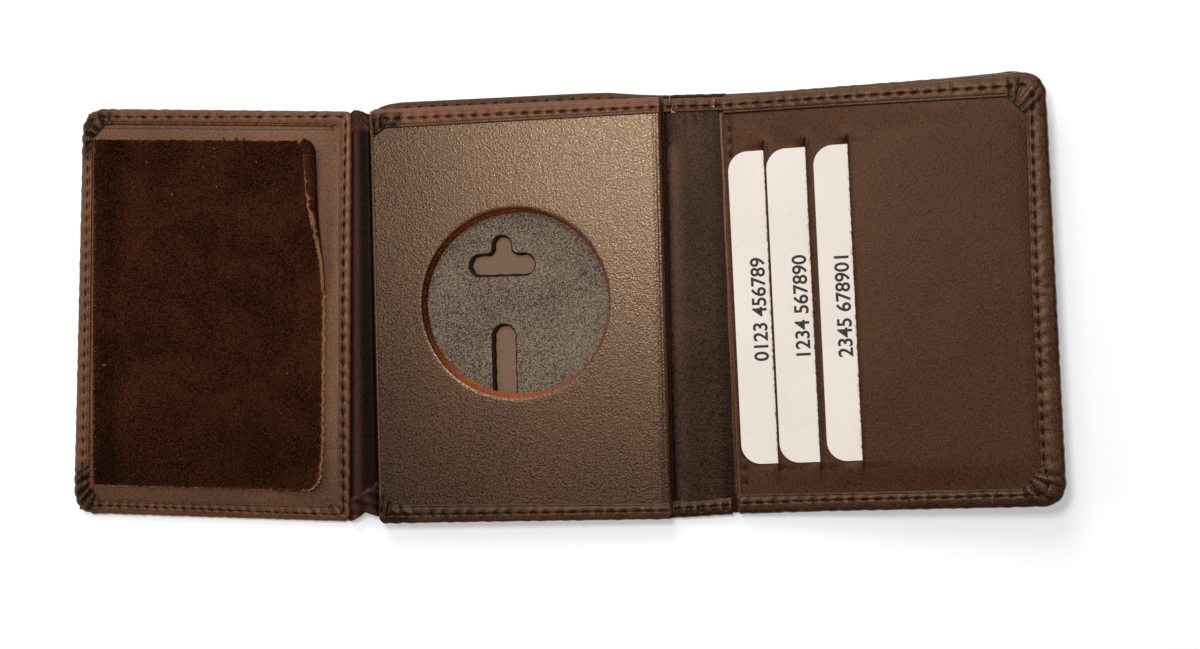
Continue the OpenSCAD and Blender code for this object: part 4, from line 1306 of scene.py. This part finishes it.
frayed = 0.12 * np.sin(px * 2.3 + 2 * np.sin(px * 0.6)) + 0.08 * np.sin(px * 5.3)
y = y + frayed * (smooth(y, page_high - 1.5, page_high) - smooth(-y, -page_low - 1.5, -page_low))
from_ring = np.hypot(px + 40.5, y - 3.0) - 26.5
base = 2.98 + 0.10 * waves(px, y, 21) + 0.28 * smooth(px, -16, -8) * (0.6 + 0.4 * np.sin(y / 9))
base = base + 1.1 * hump(px + 9, 5) * hump(y + 47, 5) - 0.07 * hump(from_ring, 1.6)
rows = np.stack((px, y, base + pz), axis=-1)
cut_near = (1 - u) * wide
end_near = np.minimum(y - page_low, page_high - y)
bare = 0.65 + 0.35 * np.sin(y * 1.9 + 2 * np.sin(y * 0.8)) * smooth(y, 0, 12)
shaded_and_worn = 0.47 + 0.60 * hump(cut_near, bare) + 0.40 * hump(end_near, 0.35)
shaded_and_worn = shaded_and_worn + 0.07 * hump(from_ring, 1.2) - 0.06 * (from_ring < -0.5)
shaded_and_worn = shaded_and_worn - 0.12 * hump(px + 70, 3.0) + 0.10 * hump(px + 62, 3.0) * smooth(y, -10, 40)
shaded_and_worn = shaded_and_worn - 0.16 * smooth(-y, 10, 45) - 0.08 * smooth(y, 25, 45)
page = leather_form("suede_page_face", rows, on_flap, wall=0.8, wear_and_shade=shaded_and_worn)
finished(page, suede, None, "suede", "suede_page")
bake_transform(page)

# Loose fibres: pale ones along the suede's raw edges, and rust-red ones where it is sewn in.
# They are split leather, caught at one end in the edge that they come from.
pale_fibre = clouded("pale_fibre", 0.9, 0.05, (104, 68, 40), (214, 162, 108), 0.8)
lip_fibre = clouded("lip_fibre", 0.9, 0.05, (52, 24, 15), (128, 74, 48), 0.6)
gold_fibre = clouded("gold_fibre", 0.7, 0.2, (190, 128, 52), (236, 190, 110), 0.8)


def fringe(name, edge, inside, number, long, finish, thick=0.055, body="suede"):
    """Fibres that stand out from a row of points, away from the row beside it"""
    pick = rng.uniform(0, len(edge) - 1.001, number)
    low = pick.astype(int)
    part = (pick - low)[:, None]
    roots = edge[low] * (1 - part) + edge[low + 1] * part + (0, 0, -0.1)
    out = edge[low] - inside[low]
    out = out / np.linalg.norm(out, axis=1)[:, None]
    ways = out + rng.normal(0, 0.6, (number, 3)) * (1, 1, 0.4)
    made = fibres(name, roots, ways, rng.uniform(0.4, 1.0, number) * long, thick, on_flap)
    return finished(made, finish, body, "suede")


fringe("suede_fringe_right", rows[:, -1], rows[:, -3], 900, 0.7, pale_fibre, 0.07)
fringe("suede_fringe_top", rows[-1], rows[-3], 520, 0.7, pale_fibre)
fringe("suede_fringe_bottom", rows[0], rows[2], 420, 0.6, pale_fibre)
sewn_side = rows[:, 0] + (0.25, 0, 0.25)
fringe(
    "suede_fringe_left", sewn_side, sewn_side - (0.2, 0.6, 0), 170, 1.2, rust_fibre, 0.07, "id_flap"
)

# Crumbs and thread ends: bright bits of fibre that lie about on the suede, the backing and the
# valley strip, and the gold ends of the thread on the spine.
on_suede = [
    (x, y, 3.3) for x, y in (
        (-59.5, 42.6), (-43.1, 41.3), (-39.2, 35.8), (-40.0, 46.6), (-52.2, 34.1), (-28.1, 43.5),
        (-17.5, -16.5), (-70.4, -15.0),
    )
]
on_backing = [(x, y, 4.25) for x, y in ((-6.9, 3.7), (0.6, 5.5), (-17.0, 1.2), (-9.8, -15.5))]
in_valley = (
    (-42.2, -47.4, 4.6), (-44.6, -48.4, 4.2), (-46.2, -50.6, 4.0), (-46.6, 52.1, 3.6),
    (-43.9, 52.4, 3.9),
)
valley_ways = ((0.5, 1, 0.2), (1, 0.6, 0.1), (1, 0.3, 0.2), (0.3, 1, 0.2), (1, 0.2, 0.2))
at_spine = (
    (2.05, 56.9, 3.05), (2.3, 54.3, 2.9), (2.5, 54.0, 2.9), (14.4, 56.2, 3.05), (14.2, 55.2, 3.0),
)
spine_ways = ((0.1, 1, 0.15), (0.3, 1, 0.3), (1, -0.4, 0.2), (-0.4, 1, 0.2), (0.2, -1, 0.1))
suede_ways = rng.normal(0, 1, (len(on_suede), 3)) * (1, 1, 0.1)
suede_lengths = rng.uniform(0.6, 1.1, len(on_suede))
backing_ways = rng.normal(0, 1, (len(on_backing), 3)) * (1, 1, 0.1)
for name, roots, ways, lengths, thick, place, finish, body, slot in (
    ("suede_crumbs", on_suede, suede_ways, suede_lengths, 0.2, on_flap,
     rust_fibre, "suede", "suede"),
    ("backing_crumbs", on_backing, backing_ways, (1.1, 0.7, 0.8, 0.6), 0.2, on_badge,
     rust_fibre, "badge_panel", "backing_board"),
    ("valley_crumbs", in_valley, valley_ways, (1.7, 0.9, 1.0, 1.2, 0.8), 0.16, on_badge,
     rust_fibre, "valley", "edge_leather"),
    ("thread_ends", at_spine, spine_ways, (1.9, 2.0, 1.3, 1.0, 0.8), 0.2, on_spine,
     gold_fibre, "spine", "edge_leather"),
):
    finished(fibres(name, roots, ways, lengths, thick, place), finish, body, slot)

# Raw edges of the three slits: the knife leaves short dark fibres along the leather's cut lip,
# which stand up a little over the cards.
count = 170
for i, at in enumerate(slit_x):
    y = rng.uniform(slit_low + 1, slit_high - 2.5, count)
    x = at + 0.02 + rng.normal(0, 0.05, count)
    roots = np.column_stack((x, y, over_card(i, at) - 0.12 + rng.uniform(-0.25, 0.1, count)))
    ways = np.column_stack((
        rng.normal(-0.12, 0.18, count), rng.choice((-1.0, 1.0), count), rng.normal(0, 0.1, count),
    ))
    lengths = rng.uniform(0.5, 1.6, count)
    lips = fibres(f"slit_{i + 1}_raw_edge", roots, ways, lengths, 0.06, on_card)
    finished(lips, lip_fibre, "card_panel", "panel_leather")
